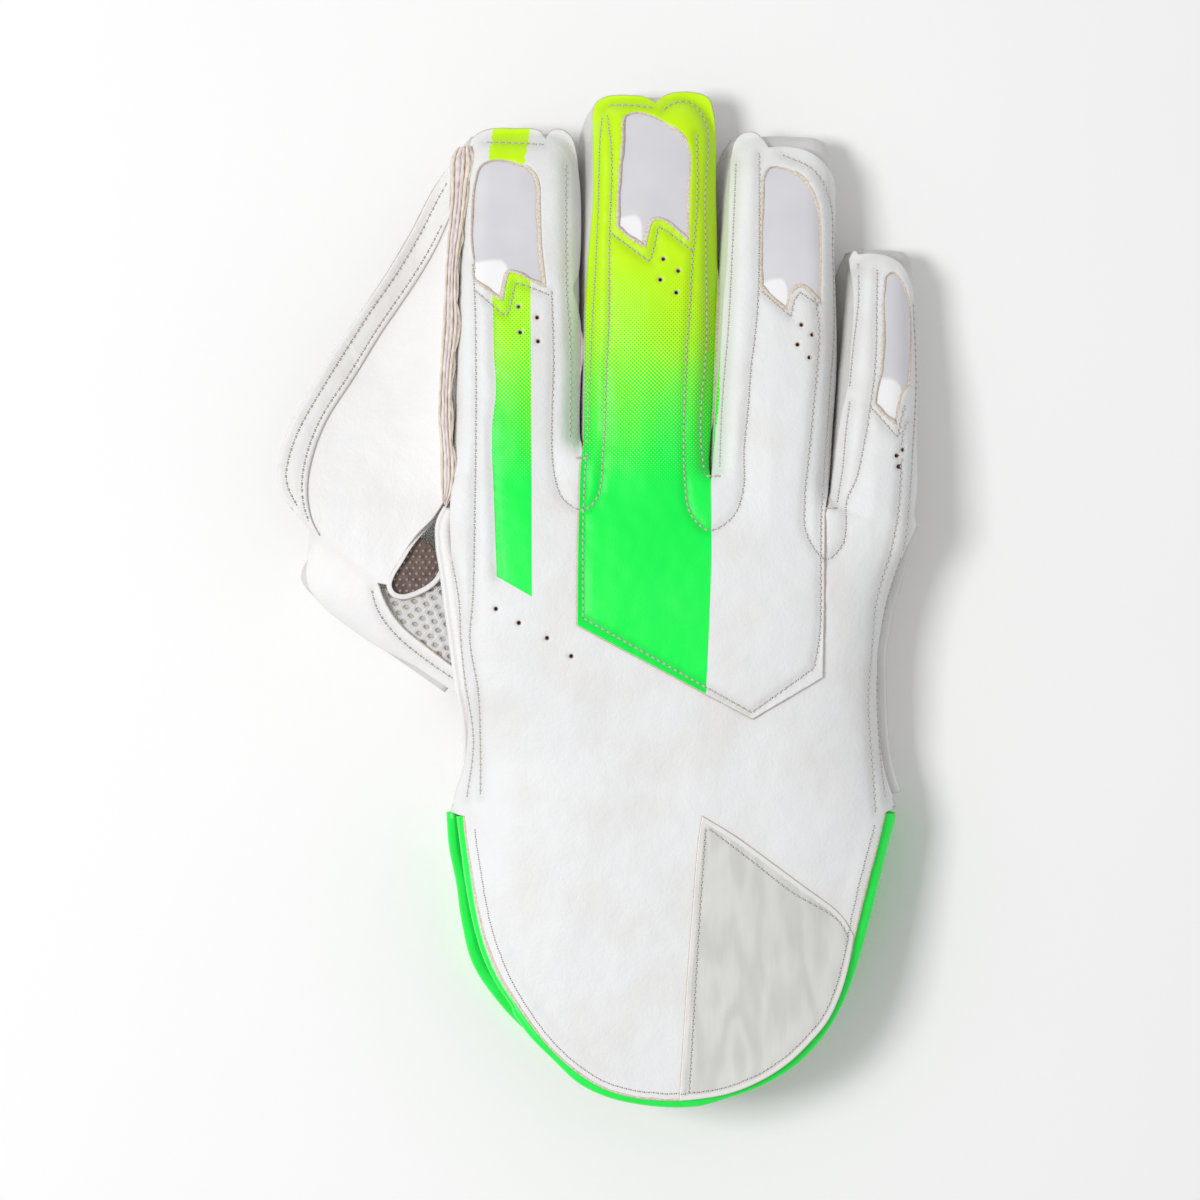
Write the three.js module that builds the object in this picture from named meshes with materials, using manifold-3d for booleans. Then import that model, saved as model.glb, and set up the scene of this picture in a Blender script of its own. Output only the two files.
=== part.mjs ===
// A right-hand wicketkeeping glove that lies on its palm, back of the hand up, fingers towards +Y and thumb towards -X.
// Every finger is a hollow leather sleeve that opens into the hand, and the hand opens into a two-tongued cuff.
// Lengths are millimetres. The model is built round the hand's centre line, with the wrist at Y 0 and the floor at
// Z 0, and is moved at the end so that its origin is the centre of its footprint.
import * as THREE from "three";
import { mergeVertices } from "three/addons/utils/BufferGeometryUtils.js";
import Module from "manifold-3d";

const wasm = await Module();
wasm.setup();

// Driving dimensions.
const clearance = 0.3; // between sewn pieces, so that each stays its own solid
const sleeveWall = 2.2; // finger and thumb leather with its lining
const handWall = 2.8; // padded leather of the hand and cuff
const panelThickness = 1.2; // leather overlays on the finger backs
const guardThickness = 1.0; // hard fingertip guards
const overlayThickness = 1.0;
const patchThickness = 0.8;
const facingThickness = 1.4; // pimpled rubber under palm, fingers and thumb
const fingerGap = 0.6; // between two sleeves where they leave the hand
const fingerLean = 6; // how far a sleeve's palm side leans towards the thumb
const fingerCrown = 1.5;
const shoulderRadius = 9; // long upper edges of a sleeve
const footRadius = 6; // long lower edges of a sleeve
const palmLength = 103; // wrist to the line of finger roots, on the centre line
const rootSlope = -0.206; // that line drops towards the little finger
const rowShift = 4.2; // finger row's centre, off the centre line towards the little finger
const sideEase = 1.5; // how far the hand is wider than its finger row on each side
const handDepth = 44; // floor to the highest point of the back
const archHeight = 5; // how far the finger roots stand off the floor
const backTongueLength = 96;
const palmTongueLength = 91;
const bindingWidth = 3.8;
const bindingCover = 1.0; // thickness of the bound edging over each face of the leather
const bindingSlack = 0.6; // between the edging and the curved leather inside it
const palmTongueDrift = 2.5; // how far the palm's tongue lies towards the thumb side
const littleWeltWidth = 3.2; // leather strip sewn between back and palm
const thumbWeltWidth = 1.2;
const weltThickness = 1.6;
const webThickness = 2.2;
const webEnd = 73.8; // how far above the wrist the web ends, beside the thumb
const webWidth = 50;
const webFootX = -73.5; // the web's seam at its lower end
const webSag = 5;
const webSeamWidth = 4.8; // raw-edged seam between web and index finger
const webSeamHeight = 6;
const hemWidth = 6.5;
const hemCover = 0.8;
const hemSlack = 0.5;
const ventRadius = 0.9;
const netThickness = 1.2;
const netPitch = 4;
const netHoleRadius = 1.25;
const flapThickness = 1.0;
const flapWidth = 15.9; // pimpled flap at the crotch of the thumb
const flapLength = 17;
const flapRise = 9; // how far the flap reaches above the end of the web

const fingers = {
  index: { baseWidth: 40, tipWidth: 37, length: 100.5, depth: 28, tipShift: 1.3 },
  middle: { baseWidth: 40.6, tipWidth: 40.2, length: 120.5, depth: 29, tipShift: 2.8 },
  ring: { baseWidth: 37.3, tipWidth: 35.6, length: 116, depth: 28, tipShift: 4.8 },
  little: { baseWidth: 27.4, tipWidth: 22, length: 86, depth: 26, tipShift: 4.6 },
};
const thumb = { baseWidth: 35, tipWidth: 33, length: 62, depth: 30, heading: 145.5, rootX: -61.8, rootY: 46.8 };

// Fingertip windows: width and length, then where the middle of each lies as shares of its finger's half width and
// length.
const windows = {
  index: { width: 23.6, length: 45.5, across: -0.18, along: 0.688 },
  middle: { width: 24.2, length: 44.6, across: 0.03, along: 0.765 },
  ring: { width: 19.2, length: 48, across: 0.24, along: 0.713 },
  little: { width: 11.6, length: 50, across: 0.36, along: 0.62 },
};

// Sections along a sleeve, from root to tip. width and along are shares of the finger's own, taper goes from the
// root's height to the finger's depth, and top and foot are shares of that depth. arch is a share of archHeight.
const sleeveRows = [
  { along: 0, width: 1, taper: 0, top: 1, foot: 0, arch: 1 },
  { along: 0.22, width: 1.01, taper: 0.2, top: 1, foot: 0, arch: 0.8 },
  { along: 0.45, width: 1.01, taper: 0.5, top: 1, foot: 0, arch: 0.4 },
  { along: 0.66, width: 1, taper: 0.85, top: 1, foot: 0, arch: 0 },
  { along: 0.8, width: 0.985, taper: 1, top: 0.97, foot: 0, arch: 0 },
  { along: 0.89, width: 0.96, taper: 1, top: 0.89, foot: 0, arch: 0 },
  { along: 0.95, width: 0.91, taper: 1, top: 0.78, foot: 0.05, arch: 0 },
  { along: 0.985, width: 0.83, taper: 1, top: 0.66, foot: 0.15, arch: 0 },
  { along: 1, width: 0.7, taper: 1, top: 0.54, foot: 0.25, arch: 0 },
];

// Sections of the hand from wrist to finger roots. left and right are shares of the hand's half widths at the roots.
// top, both seams and floor are heights as shares of handDepth. square is how boxy the back is.
const handRows = [
  { along: 0, left: 0.985, right: 0.905, top: 0.95, seamLeft: 0.42, seamRight: 0.42, floor: 0, square: 2.6 },
  { along: 0.1, left: 0.935, right: 0.872, top: 0.94, seamLeft: 0.52, seamRight: 0.42, floor: 0, square: 2.6 },
  { along: 0.2, left: 0.92, right: 0.854, top: 0.95, seamLeft: 0.67, seamRight: 0.43, floor: 0, square: 2.6 },
  { along: 0.31, left: 0.935, right: 0.846, top: 0.98, seamLeft: 0.78, seamRight: 0.44, floor: 0, square: 2.7 },
  { along: 0.48, left: 0.965, right: 0.842, top: 1, seamLeft: 0.8, seamRight: 0.45, floor: 0.02, square: 2.8 },
  { along: 0.64, left: 0.99, right: 0.865, top: 0.99, seamLeft: 0.8, seamRight: 0.46, floor: 0.05, square: 3 },
  { along: 0.78, left: 1, right: 0.905, top: 0.96, seamLeft: 0.79, seamRight: 0.47, floor: 0.08, square: 3.3 },
  { along: 0.9, left: 0.985, right: 0.95, top: 0.92, seamLeft: 0.74, seamRight: 0.48, floor: 0.1, square: 3.7 },
  { along: 1, left: 0.985, right: 1, top: 0.88, seamLeft: 0.68, seamRight: 0.5, floor: 0.114, square: 4.2 },
];

// The outline of the cuff's two tongues, from the end to the wrist. along is a share of the tongue's length, and back
// and palm are shares of the half width at the wrist.
const tongueRows = [
  { along: 0.975, back: 0.26, palm: 0.28 },
  { along: 0.93, back: 0.42, palm: 0.44 },
  { along: 0.85, back: 0.575, palm: 0.6 },
  { along: 0.73, back: 0.7, palm: 0.74 },
  { along: 0.6, back: 0.785, palm: 0.825 },
  { along: 0.46, back: 0.845, palm: 0.88 },
  { along: 0.32, back: 0.895, palm: 0.93 },
  { along: 0.18, back: 0.945, palm: 0.972 },
  { along: 0.06, back: 0.985, palm: 0.995 },
];

const radians = THREE.MathUtils.degToRad;
const clamp = THREE.MathUtils.clamp;
const lerp = THREE.MathUtils.lerp;
const span = (count, from = 0, to = 1) => Array.from({ length: count }, (_, i) => lerp(from, to, i / (count - 1)));

// The row of a table at any position, by straight interpolation in its along column.
function rowAt(rows, along) {
  const next = rows.find((row, i) => i > 0 && row.along >= along) ?? rows.at(-1);
  const before = rows[rows.indexOf(next) - 1];
  const share = clamp((along - before.along) / (next.along - before.along), 0, 1);
  return Object.fromEntries(Object.keys(next).map((key) => [key, lerp(before[key], next[key], share)]));
}

// Solids. Each helper returns a closed geometry whose faces point out.
function closedGeometry(points, faces) {
  const flat = [];
  for (const p of points) flat.push(p.x, p.y, p.z);
  let volume = 0;
  for (const [a, b, c] of faces) volume += points[a].dot(points[b].clone().cross(points[c]));
  const index = faces.flatMap(([a, b, c]) => (volume < 0 ? [a, c, b] : [a, b, c]));
  const geometry = new THREE.BufferGeometry();
  geometry.setAttribute("position", new THREE.BufferAttribute(new Float32Array(flat), 3));
  geometry.setIndex(index);
  return geometry;
}

const quad = (a, b, c, d) => [
  [a, b, c],
  [a, c, d],
];

// A sleeve: outer and inner rings run from the open root to the closed tip.
function hollowTube(outer, inner) {
  const count = outer[0].length;
  const points = [...outer, ...inner].flat();
  const faces = [];
  const wall = (first, rows, flip) => {
    for (let r = 0; r < rows - 1; r++)
      for (let i = 0; i < count; i++) {
        const j = (i + 1) % count;
        const [a, b] = [first + r * count + i, first + r * count + j];
        faces.push(...(flip ? quad(a, a + count, b + count, b) : quad(a, b, b + count, a + count)));
      }
    const top = first + (rows - 1) * count;
    for (let i = 1; i < count - 1; i++) faces.push(flip ? [top, top + i + 1, top + i] : [top, top + i, top + i + 1]);
  };
  wall(0, outer.length, false);
  const innerFirst = outer.length * count;
  wall(innerFirst, inner.length, true);
  for (let i = 0; i < count; i++) {
    const j = (i + 1) % count;
    faces.push(...quad(i, innerFirst + i, innerFirst + j, j));
  }
  return closedGeometry(points, faces);
}

// A solid through closed rings, with both ends capped. outline is the ring in two dimensions, for the caps.
function solidThrough(rings, outline) {
  const count = rings[0].length;
  const faces = [];
  for (let r = 0; r < rings.length - 1; r++)
    for (let i = 0; i < count; i++) {
      const j = (i + 1) % count;
      faces.push(...quad(r * count + i, r * count + j, (r + 1) * count + j, (r + 1) * count + i));
    }
  const end = (rings.length - 1) * count;
  for (const [a, b, c] of THREE.ShapeUtils.triangulateShape(outline, []))
    if (THREE.ShapeUtils.isClockWise(outline)) faces.push([a, b, c], [end + a, end + c, end + b]);
    else faces.push([a, c, b], [end + a, end + b, end + c]);
  return closedGeometry(rings.flat(), faces);
}

// A sheet with thickness between two grids of points that have as many rows and columns.
function slab(upper, lower) {
  const [rows, columns] = [upper.length, upper[0].length];
  const under = rows * columns;
  const at = (r, c) => r * columns + c;
  const faces = [];
  for (let r = 0; r < rows - 1; r++)
    for (let c = 0; c < columns - 1; c++) {
      const corners = [at(r, c), at(r, c + 1), at(r + 1, c + 1), at(r + 1, c)];
      faces.push(...quad(...corners), ...quad(...corners.map((i) => i + under).reverse()));
    }
  const rim = [
    ...span(columns, 0, columns - 1).map((c) => at(0, Math.round(c))),
    ...span(rows, 0, rows - 1).map((r) => at(Math.round(r), columns - 1)).slice(1),
    ...span(columns, columns - 1, 0).map((c) => at(rows - 1, Math.round(c))).slice(1),
    ...span(rows, rows - 1, 0).map((r) => at(Math.round(r), 0)).slice(1, -1),
  ];
  rim.forEach((a, i) => {
    const b = rim[(i + 1) % rim.length];
    faces.push(...quad(a, a + under, b + under, b));
  });
  return closedGeometry([...upper.flat(), ...lower.flat()], faces);
}

// An upright prism over an outline of [x, y] points, from one height to another.
function prism(outline, from, to) {
  const shape = new THREE.Shape(outline.map(([x, y]) => new THREE.Vector2(x, y)));
  const solid = new THREE.ExtrudeGeometry(shape, { depth: to - from, bevelEnabled: false, curveSegments: 1 });
  return solid.translate(0, 0, from);
}

function manifoldOf(geometry) {
  const bare = geometry.clone();
  for (const name of Object.keys(bare.attributes)) if (name !== "position") bare.deleteAttribute(name);
  const merged = mergeVertices(bare, 1e-4);
  const mesh = { numProp: 3, vertProperties: merged.attributes.position.array };
  return new wasm.Manifold(new wasm.Mesh({ ...mesh, triVerts: new Uint32Array(merged.index.array) }));
}

function geometryOf(manifold) {
  const mesh = manifold.getMesh();
  const geometry = new THREE.BufferGeometry();
  geometry.setAttribute("position", new THREE.BufferAttribute(new Float32Array(mesh.vertProperties), 3));
  return geometry.setIndex([...mesh.triVerts]);
}

const cut = (geometry, ...tools) =>
  geometryOf(tools.reduce((left, tool) => left.subtract(manifoldOf(tool)), manifoldOf(geometry)));
const trim = (geometry, tool) => geometryOf(manifoldOf(geometry).intersect(manifoldOf(tool)));

// Hand and cuff.
const rowWidth = Object.values(fingers).reduce((sum, f) => sum + f.baseWidth, 0) + 3 * fingerGap;
const rowLeft = rowShift - rowWidth / 2;
const handLeft = -rowLeft + sideEase;
const handRight = rowLeft + rowWidth + sideEase;
const underside = facingThickness + clearance; // the leather's lowest height, on top of the rubber facing
const rootLine = (x) => palmLength + rootSlope * x;

const squareArc = (u, power) => Math.pow(Math.max(0, 1 - Math.pow(Math.abs(u), power)), 1 / power);
const palmFlat = 0.72; // share of the palm's half width that is flat underneath
const palmArc = (u) => Math.sqrt(1 - Math.pow(Math.max(0, (Math.abs(u) - palmFlat) / (1 - palmFlat)), 2));

const halfWidth = (row, u) => (u < 0 ? row.left * handLeft : row.right * handRight);

// A point of the hand's wall. u runs from -1 at the thumb side to 1, side is 1 for the back and -1 for the palm, and
// grow moves it out of the outer surface.
function handPoint(row, u, side, y, grow) {
  const half = halfWidth(row, u) + grow;
  const seam = (u < 0 ? row.seamLeft : row.seamRight) * handDepth;
  const seamSide = seam + side * (weltThickness / 2 + clearance);
  const back = seamSide + (row.top * handDepth + grow - seamSide) * squareArc(u, row.square);
  const palm = seamSide - (seamSide - underside - row.floor * handDepth + grow) * palmArc(u);
  const x = u * half;
  return new THREE.Vector3(x, y ?? row.along * rootLine(x) - (row.along === 1 ? clearance : 0), side > 0 ? back : palm);
}

const edgeSpaced = (count) => span(count, -1, 1).map((s) => Math.sin((s * Math.PI) / 2));
const palmSpread = [-1, -0.985, -0.94, -0.86, -palmFlat, 0, palmFlat, 0.86, 0.94, 0.985, 1];

// A point of a tongue's wall. along is a share of its length, and u runs across the whole wrist.
const tongueLength = (side) => (side > 0 ? backTongueLength : palmTongueLength);
const tongueHalf = (side, row) => (side > 0 ? row.back : row.palm);
const tongueEnd = tongueRows[0];
const roundedEnd = (share) => lerp(1, tongueEnd.along, share * share);

function tonguePoint(side, along, u, grow) {
  const drift = side > 0 ? 0 : palmTongueDrift * clamp(along * 5, 0, 1);
  const point = handPoint(handRows[0], u, side, -along * tongueLength(side), grow);
  return point.setX(point.x - drift);
}

// The rows of one wall, from the end of its tongue to the finger roots.
function handWallRows(side) {
  const spread = side > 0 ? edgeSpaced(15) : palmSpread;
  const grid = (grow) => [
    ...tongueRows.map((row, i) =>
      spread.map((share) =>
        tonguePoint(side, i ? row.along : roundedEnd(share), share * tongueHalf(side, row), grow),
      ),
    ),
    ...handRows.map((row) => spread.map((u) => handPoint(row, u, side, undefined, grow))),
  ];
  return { outer: grid(0), inner: grid(-handWall) };
}

const backWall = handWallRows(1);
const palmWall = handWallRows(-1);

// The filled hand between wrist and finger roots, for trimming the thumb's sleeve to it.
function handSolid(grow) {
  const [over, under] = [edgeSpaced(15), [...palmSpread].reverse().slice(1, -1)];
  const rings = handRows.map((row) => [
    ...over.map((u) => handPoint(row, u, 1, undefined, grow)),
    ...under.map((u) => handPoint(row, u, -1, undefined, grow)),
  ]);
  return solidThrough(rings, rings[0].map((p) => new THREE.Vector2(p.x, p.z)));
}

// Sleeves. A section is a rounded box with a crowned top, seen from the tip's end.
const arcPoints = (cx, cz, radius, from, to, count) =>
  span(count, from, to).map((turn) => [cx + radius * Math.cos(radians(turn)), cz + radius * Math.sin(radians(turn))]);

function sectionRing(half, top, foot, crown, grow) {
  const [w, t, f] = [half + grow, top + grow, foot - grow];
  const r = Math.min(shoulderRadius + grow, w * 0.9, (t - f) * 0.5);
  const q = Math.min(footRadius + grow, w * 0.9, (t - f) * 0.48);
  return [
    ...arcPoints(-w + q, f + q, q, 270, 180, 3),
    ...arcPoints(-w + r, t - r, r, 180, 90, 4),
    [0, t + crown],
    ...arcPoints(w - r, t - r, r, 90, 0, 4),
    ...arcPoints(w - q, f + q, q, 0, -90, 3),
  ];
}
const shoulders = [4, 10]; // first and last point of a section that a back panel covers

// Where each finger stands. left is the edge of its root.
let left = rowLeft;
for (const finger of Object.values(fingers)) {
  finger.rootX = left + finger.baseWidth / 2;
  finger.rootTop = handPoint(rowAt(handRows, 1), finger.rootX / (finger.rootX < 0 ? handLeft : handRight), 1, 0, 0).z;
  finger.tipY = rootLine(finger.rootX) + finger.length;
  left += finger.baseWidth + fingerGap;
}

// Half width, top and foot of a sleeve at a position along it.
function sleeveAt(sleeve, along) {
  const row = rowAt(sleeveRows, along);
  const rootTop = sleeve.rootTop ?? sleeve.depth;
  const rootLift = sleeve.rootTop ? archHeight : 0;
  return {
    half: (lerp(sleeve.baseWidth, sleeve.tipWidth, along) * row.width) / 2,
    top: lerp(rootTop, sleeve.depth, row.taper) * row.top,
    foot: underside + row.foot * sleeve.depth + row.arch * rootLift,
  };
}

// A ring of points round a finger. reach shortens or lengthens the tip.
function fingerRing(finger, along, grow, reach = 0) {
  const { half, top, foot } = sleeveAt(finger, along);
  const leanHere = fingerLean * clamp(along / 0.35, 0, 1);
  const centre = finger.rootX + finger.tipShift * along;
  return sectionRing(half, top, foot, fingerCrown * (1 - along), grow).map(([across, z]) => {
    const widest = top - Math.min(shoulderRadius, (top - foot) / 2);
    const x = centre + across - leanHere * clamp((widest - z) / (widest - foot), 0, 1);
    const root = rootLine(centre + across) + clearance;
    return new THREE.Vector3(x, lerp(root, finger.tipY + reach, along), z);
  });
}

const thumbAxis = new THREE.Vector2(Math.cos(radians(thumb.heading)), Math.sin(radians(thumb.heading)));
const thumbCrown = 1;

function thumbRing(along, grow, reach = 0) {
  const { half, top, foot } = sleeveAt(thumb, along);
  const distance = along * (thumb.length + reach);
  return sectionRing(half, top, foot, thumbCrown * (1 - along), grow).map(
    ([across, z]) =>
      new THREE.Vector3(
        thumb.rootX + thumbAxis.x * distance + thumbAxis.y * across,
        thumb.rootY + thumbAxis.y * distance - thumbAxis.x * across,
        z,
      ),
  );
}

const sleeveStations = sleeveRows.map((row) => row.along);
const sleeve = (ring) =>
  hollowTube(
    sleeveStations.map((along) => ring(along, 0)),
    sleeveStations.map((along) => ring(along, -sleeveWall, -sleeveWall)),
  );

// A sheet on a sleeve's back, between two heights above its leather.
function sheetOnSleeve(ring, stations, from, to) {
  const grid = (grow) => stations.map((along) => ring(along, grow, grow).slice(shoulders[0], shoulders[1] + 1));
  return slab(grid(to), grid(from));
}

// A rubber facing under a sleeve, over the flat of its palm side. Ring points 2 and 12 mark the flat's two edges.
const footEdges = (ring) => [ring[0], ring[ring.length - 1]];

function facingUnder(ring, stations) {
  const grid = (drop) =>
    stations.map((along) => {
      const [a, b] = footEdges(ring(along, 0));
      return [a, b].map((p) => p.clone().setZ(p.z - drop));
    });
  return slab(grid(clearance), grid(clearance + facingThickness));
}

// The outline of a fingertip window: across and along are shares of its width and length from its middle. The lower
// edge steps up to a rounded peak and down again.
const windowOutline = [
  { across: -0.5, along: -0.39 },
  { across: -0.07, along: -0.5 },
  { across: -0.02, along: -0.36 },
  { across: 0.07, along: -0.31 },
  { across: 0.17, along: -0.33 },
  { across: 0.5, along: -0.43 },
  { across: 0.5, along: 0.22 },
  { across: 0.42, along: 0.35 },
  { across: 0.22, along: 0.45 },
  { across: -0.05, along: 0.5 },
  { across: -0.4, along: 0.47 },
];
// Four vent holes below each window.
const fingerVents = [
  { across: 0.145, along: -0.575 },
  { across: 0.36, along: -0.65 },
  { across: 0.12, along: -0.73 },
  { across: 0.34, along: -0.81 },
];

function windowPoints(name, table) {
  const [finger, opening] = [fingers[name], windows[name]];
  const { half } = sleeveAt(finger, opening.along);
  const centreX = finger.rootX + finger.tipShift * opening.along + opening.across * half;
  const centreY = lerp(rootLine(finger.rootX), finger.tipY, opening.along);
  return table.map(({ across, along }) => [centreX + across * opening.width, centreY + along * opening.length]);
}

// An outline of [x, y] points that runs anticlockwise, moved in by a distance.
function insetOutline(outline, distance) {
  return outline.map((corner, i) => {
    const [before, after] = [outline.at(i - 1), outline[(i + 1) % outline.length]];
    const a = new THREE.Vector2(corner[0] - before[0], corner[1] - before[1]).normalize();
    const b = new THREE.Vector2(after[0] - corner[0], after[1] - corner[1]).normalize();
    const reach = distance / (1 + a.dot(b));
    return [corner[0] - (a.y + b.y) * reach, corner[1] + (a.x + b.x) * reach];
  });
}

const sky = 2 * handDepth; // higher than anything in the glove
const roundHole = ([x, y], radius, sides) =>
  prism(span(sides + 1, 0, 2 * Math.PI).slice(0, -1).map((t) => [x + radius * Math.cos(t), y + radius * Math.sin(t)]), 0, sky);
const ventHole = (centre) => roundHole(centre, ventRadius, 6);

const panelStations = [0.01, ...sleeveStations.slice(1)];

function backPanel(name) {
  const ring = (along, grow, reach) => fingerRing(fingers[name], along, grow, reach);
  const sheet = sheetOnSleeve(ring, panelStations, clearance, clearance + panelThickness);
  const opening = prism(windowPoints(name, windowOutline), 0, sky);
  return cut(sheet, opening, ...windowPoints(name, fingerVents).map(ventHole));
}

function tipGuard(name) {
  const ring = (along, grow, reach) => fingerRing(fingers[name], along, grow, reach);
  const sheet = sheetOnSleeve(ring, panelStations, clearance, clearance + guardThickness);
  return trim(sheet, prism(insetOutline(windowPoints(name, windowOutline), clearance), 0, sky));
}

// Sheets on the back of the hand, cut to an outline seen from above.
function sheetOnBack(rows, spread, thickness) {
  const grid = (grow) => rows.map(({ row, y }) => spread.map((u) => handPoint(row, u, 1, y, grow)));
  return slab(grid(clearance + thickness), grid(clearance));
}

const fingerEdge = (name, side) => fingers[name].rootX + (side * fingers[name].baseWidth) / 2;

// The overlay runs on from the middle and ring fingers' panels and ends in a V.
const overlayEnds = { left: 0.535, point: 0.25, right: 0.41 }; // shares of the palm's length
const overlayPoint = 0.68; // where the V's point lies across the overlay
const overlayMargin = 0.5;
const overlayLeft = fingerEdge("middle", -1) + overlayMargin;
const overlayRight = fingerEdge("ring", 1) - overlayMargin;
const overlayRows = handRows.slice(2).map((row) => ({ row, y: undefined }));
const overlayOutline = [
  [overlayLeft, overlayEnds.left * palmLength],
  [lerp(overlayLeft, overlayRight, overlayPoint), overlayEnds.point * palmLength],
  [overlayRight, overlayEnds.right * palmLength],
  [overlayRight, 2 * palmLength],
  [overlayLeft, 2 * palmLength],
];
const centreOverlay = trim(
  sheetOnBack(overlayRows, span(13, overlayLeft / handLeft - 0.1, overlayRight / handRight + 0.1), overlayThickness),
  prism(overlayOutline, 0, sky),
);

// The patch on the little-finger side of the cuff: its inner edge, and an upper edge that slopes to the side.
const patchTop = { x: 0.115, y: -0.06 }; // shares of the hand's right half width and of the tongue's length
const patchFoot = { x: 0.05, y: -0.95 };
const patchInset = bindingWidth + 1; // keeps the patch inside the bound edge
const patchSide = 0.4; // where its upper edge meets the tongue's side, as a share of the tongue's length
const patchPoint = ({ x, y }) => [x * handRight, y * backTongueLength];
const patchRimRows = [...tongueRows.filter((row) => row.along > patchSide), rowAt([...tongueRows].reverse(), patchSide)];
const patchRim = patchRimRows.map((row) => {
  const endward = row.along ** 4; // the edge turns across towards the tongue's end
  const x = row.back * handRows[0].right * handRight - patchInset * (1 - 0.5 * endward);
  return [x, -row.along * backTongueLength + patchInset * endward];
});
const patchOutline = [patchPoint(patchTop), patchPoint(patchFoot), ...patchRim];
const patchRows = [...span(9, -1, 0.04)].map((share) => ({ row: handRows[0], y: share * backTongueLength }));
const cuffPatch = trim(sheetOnBack(patchRows, span(11, 0, 0.96), patchThickness), prism(patchOutline, 0, sky));

// A diagonal row of four vents through the back of the hand.
const backVentFirst = { x: -0.775, y: 0.585 }; // shares of the hand's left half width and the palm's length
const backVentLast = { x: -0.44, y: 0.435 };
const backVents = span(4).map((share) => [
  lerp(backVentFirst.x, backVentLast.x, share) * handLeft,
  lerp(backVentFirst.y, backVentLast.y, share) * palmLength,
]);

// A folded edging that grips the edge of a sheet, a channel in section. Each item of the path holds the sheet's outer
// and inner surface at its edge, then at the far side of the edging.
function edging(path, cover, slack) {
  const channel = [
    { point: 2, normal: 1, reach: 0 },
    { point: 0, normal: 1, reach: 1 },
    { point: 1, normal: -1, reach: 1 },
    { point: 3, normal: -1, reach: 0 },
  ];
  const inside = slack;
  const outside = slack + cover;
  const corners = [
    ...channel.map((corner) => ({ ...corner, depth: outside })),
    ...[...channel].reverse().map((corner) => ({ ...corner, depth: inside })),
  ];
  const rings = path.map((points, i) => {
    const [before, after] = [path[Math.max(0, i - 1)], path[Math.min(path.length - 1, i + 1)]];
    const tangent = after[0].clone().sub(before[0]).normalize();
    const out = points[0].clone().sub(points[2]).normalize();
    const normal = out.clone().cross(tangent).normalize();
    if (normal.dot(points[0].clone().sub(points[1])) < 0) normal.negate();
    return corners.map((corner) =>
      points[corner.point]
        .clone()
        .addScaledVector(normal, corner.normal * corner.depth)
        .addScaledVector(out, corner.reach * corner.depth),
    );
  });
  const outline = corners.map(
    (corner) => new THREE.Vector2(corner.reach * (corner.depth + 1), corner.normal * (corner.depth + 1)),
  );
  return solidThrough(rings, outline);
}

// The bound edge of a tongue, from one side of the wrist round its end to the other.
function tongueBinding(side) {
  const wrist = handRows[0];
  const edge = [
    ...[...tongueRows].reverse().map((row) => [tongueHalf(side, row), row.along]),
    ...[0.5, 0, -0.5].map((share) => [share * tongueHalf(side, tongueEnd), roundedEnd(share)]),
    ...tongueRows.map((row) => [-tongueHalf(side, row), row.along]),
  ].map(([u, along]) => new THREE.Vector2(u * halfWidth(wrist, u), -along * tongueLength(side)));
  const path = edge.map((point, i) => {
    const along = edge[Math.min(edge.length - 1, i + 1)].clone().sub(edge[Math.max(0, i - 1)]).normalize();
    const outward = new THREE.Vector2(-along.y, along.x);
    const at = (inset, grow) => {
      const { x, y } = point.clone().addScaledVector(outward, -inset);
      return tonguePoint(side, -y / tongueLength(side), x / halfWidth(wrist, x), grow);
    };
    let inset = bindingWidth; // in the plan, so that the width along the leather comes out right
    for (let n = 0; n < 8; n++) inset *= bindingWidth / at(0, 0).distanceTo(at(inset, 0));
    return [at(0, 0), at(0, -handWall), at(inset, 0), at(inset, -handWall)];
  });
  return edging(path, bindingCover, bindingSlack);
}

// The welt between back and palm on one side, from the wrist to the finger roots.
const weltOverlap = 1.4; // how far the welt reaches in over the walls' edges
const thumbWeltEnd = 0.83; // shares of the palm's length
const littleWeltEnd = 1;

function sideWelt(sign, width, end) {
  const rows = [...handRows.filter((row) => row.along < end), rowAt(handRows, end)];
  const rings = rows.map((row) => {
    const p = handPoint(row, sign, 1, undefined, 0);
    const seam = (sign < 0 ? row.seamLeft : row.seamRight) * handDepth;
    const corners = [
      [-weltOverlap, -0.5],
      [width - 0.8, -0.5],
      [width, 0],
      [width - 0.8, 0.5],
      [-weltOverlap, 0.5],
    ];
    return corners.map(([o, h]) => new THREE.Vector3(p.x + sign * o, p.y, seam + h * weltThickness));
  });
  return solidThrough(rings, rings[0].map((p) => new THREE.Vector2(p.x, p.z)));
}

// Web between index finger and thumb.
const indexShoulder = (along) => {
  const ring = fingerRing(fingers.index, along, 0);
  return ring[3].clone().lerp(ring[4], 0.5);
};
const seamStations = span(12, 0.96, -0.16); // along the index finger, the last ones beside the hand

// The line that the web's seam follows, on the thumb side of the index finger and then of the hand.
function seamLine(along) {
  if (along >= 0) return indexShoulder(along);
  const row = rowAt(handRows, 1 + (along * fingers.index.length) / palmLength);
  return handPoint(row, -1, 1, undefined, 0);
}

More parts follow.
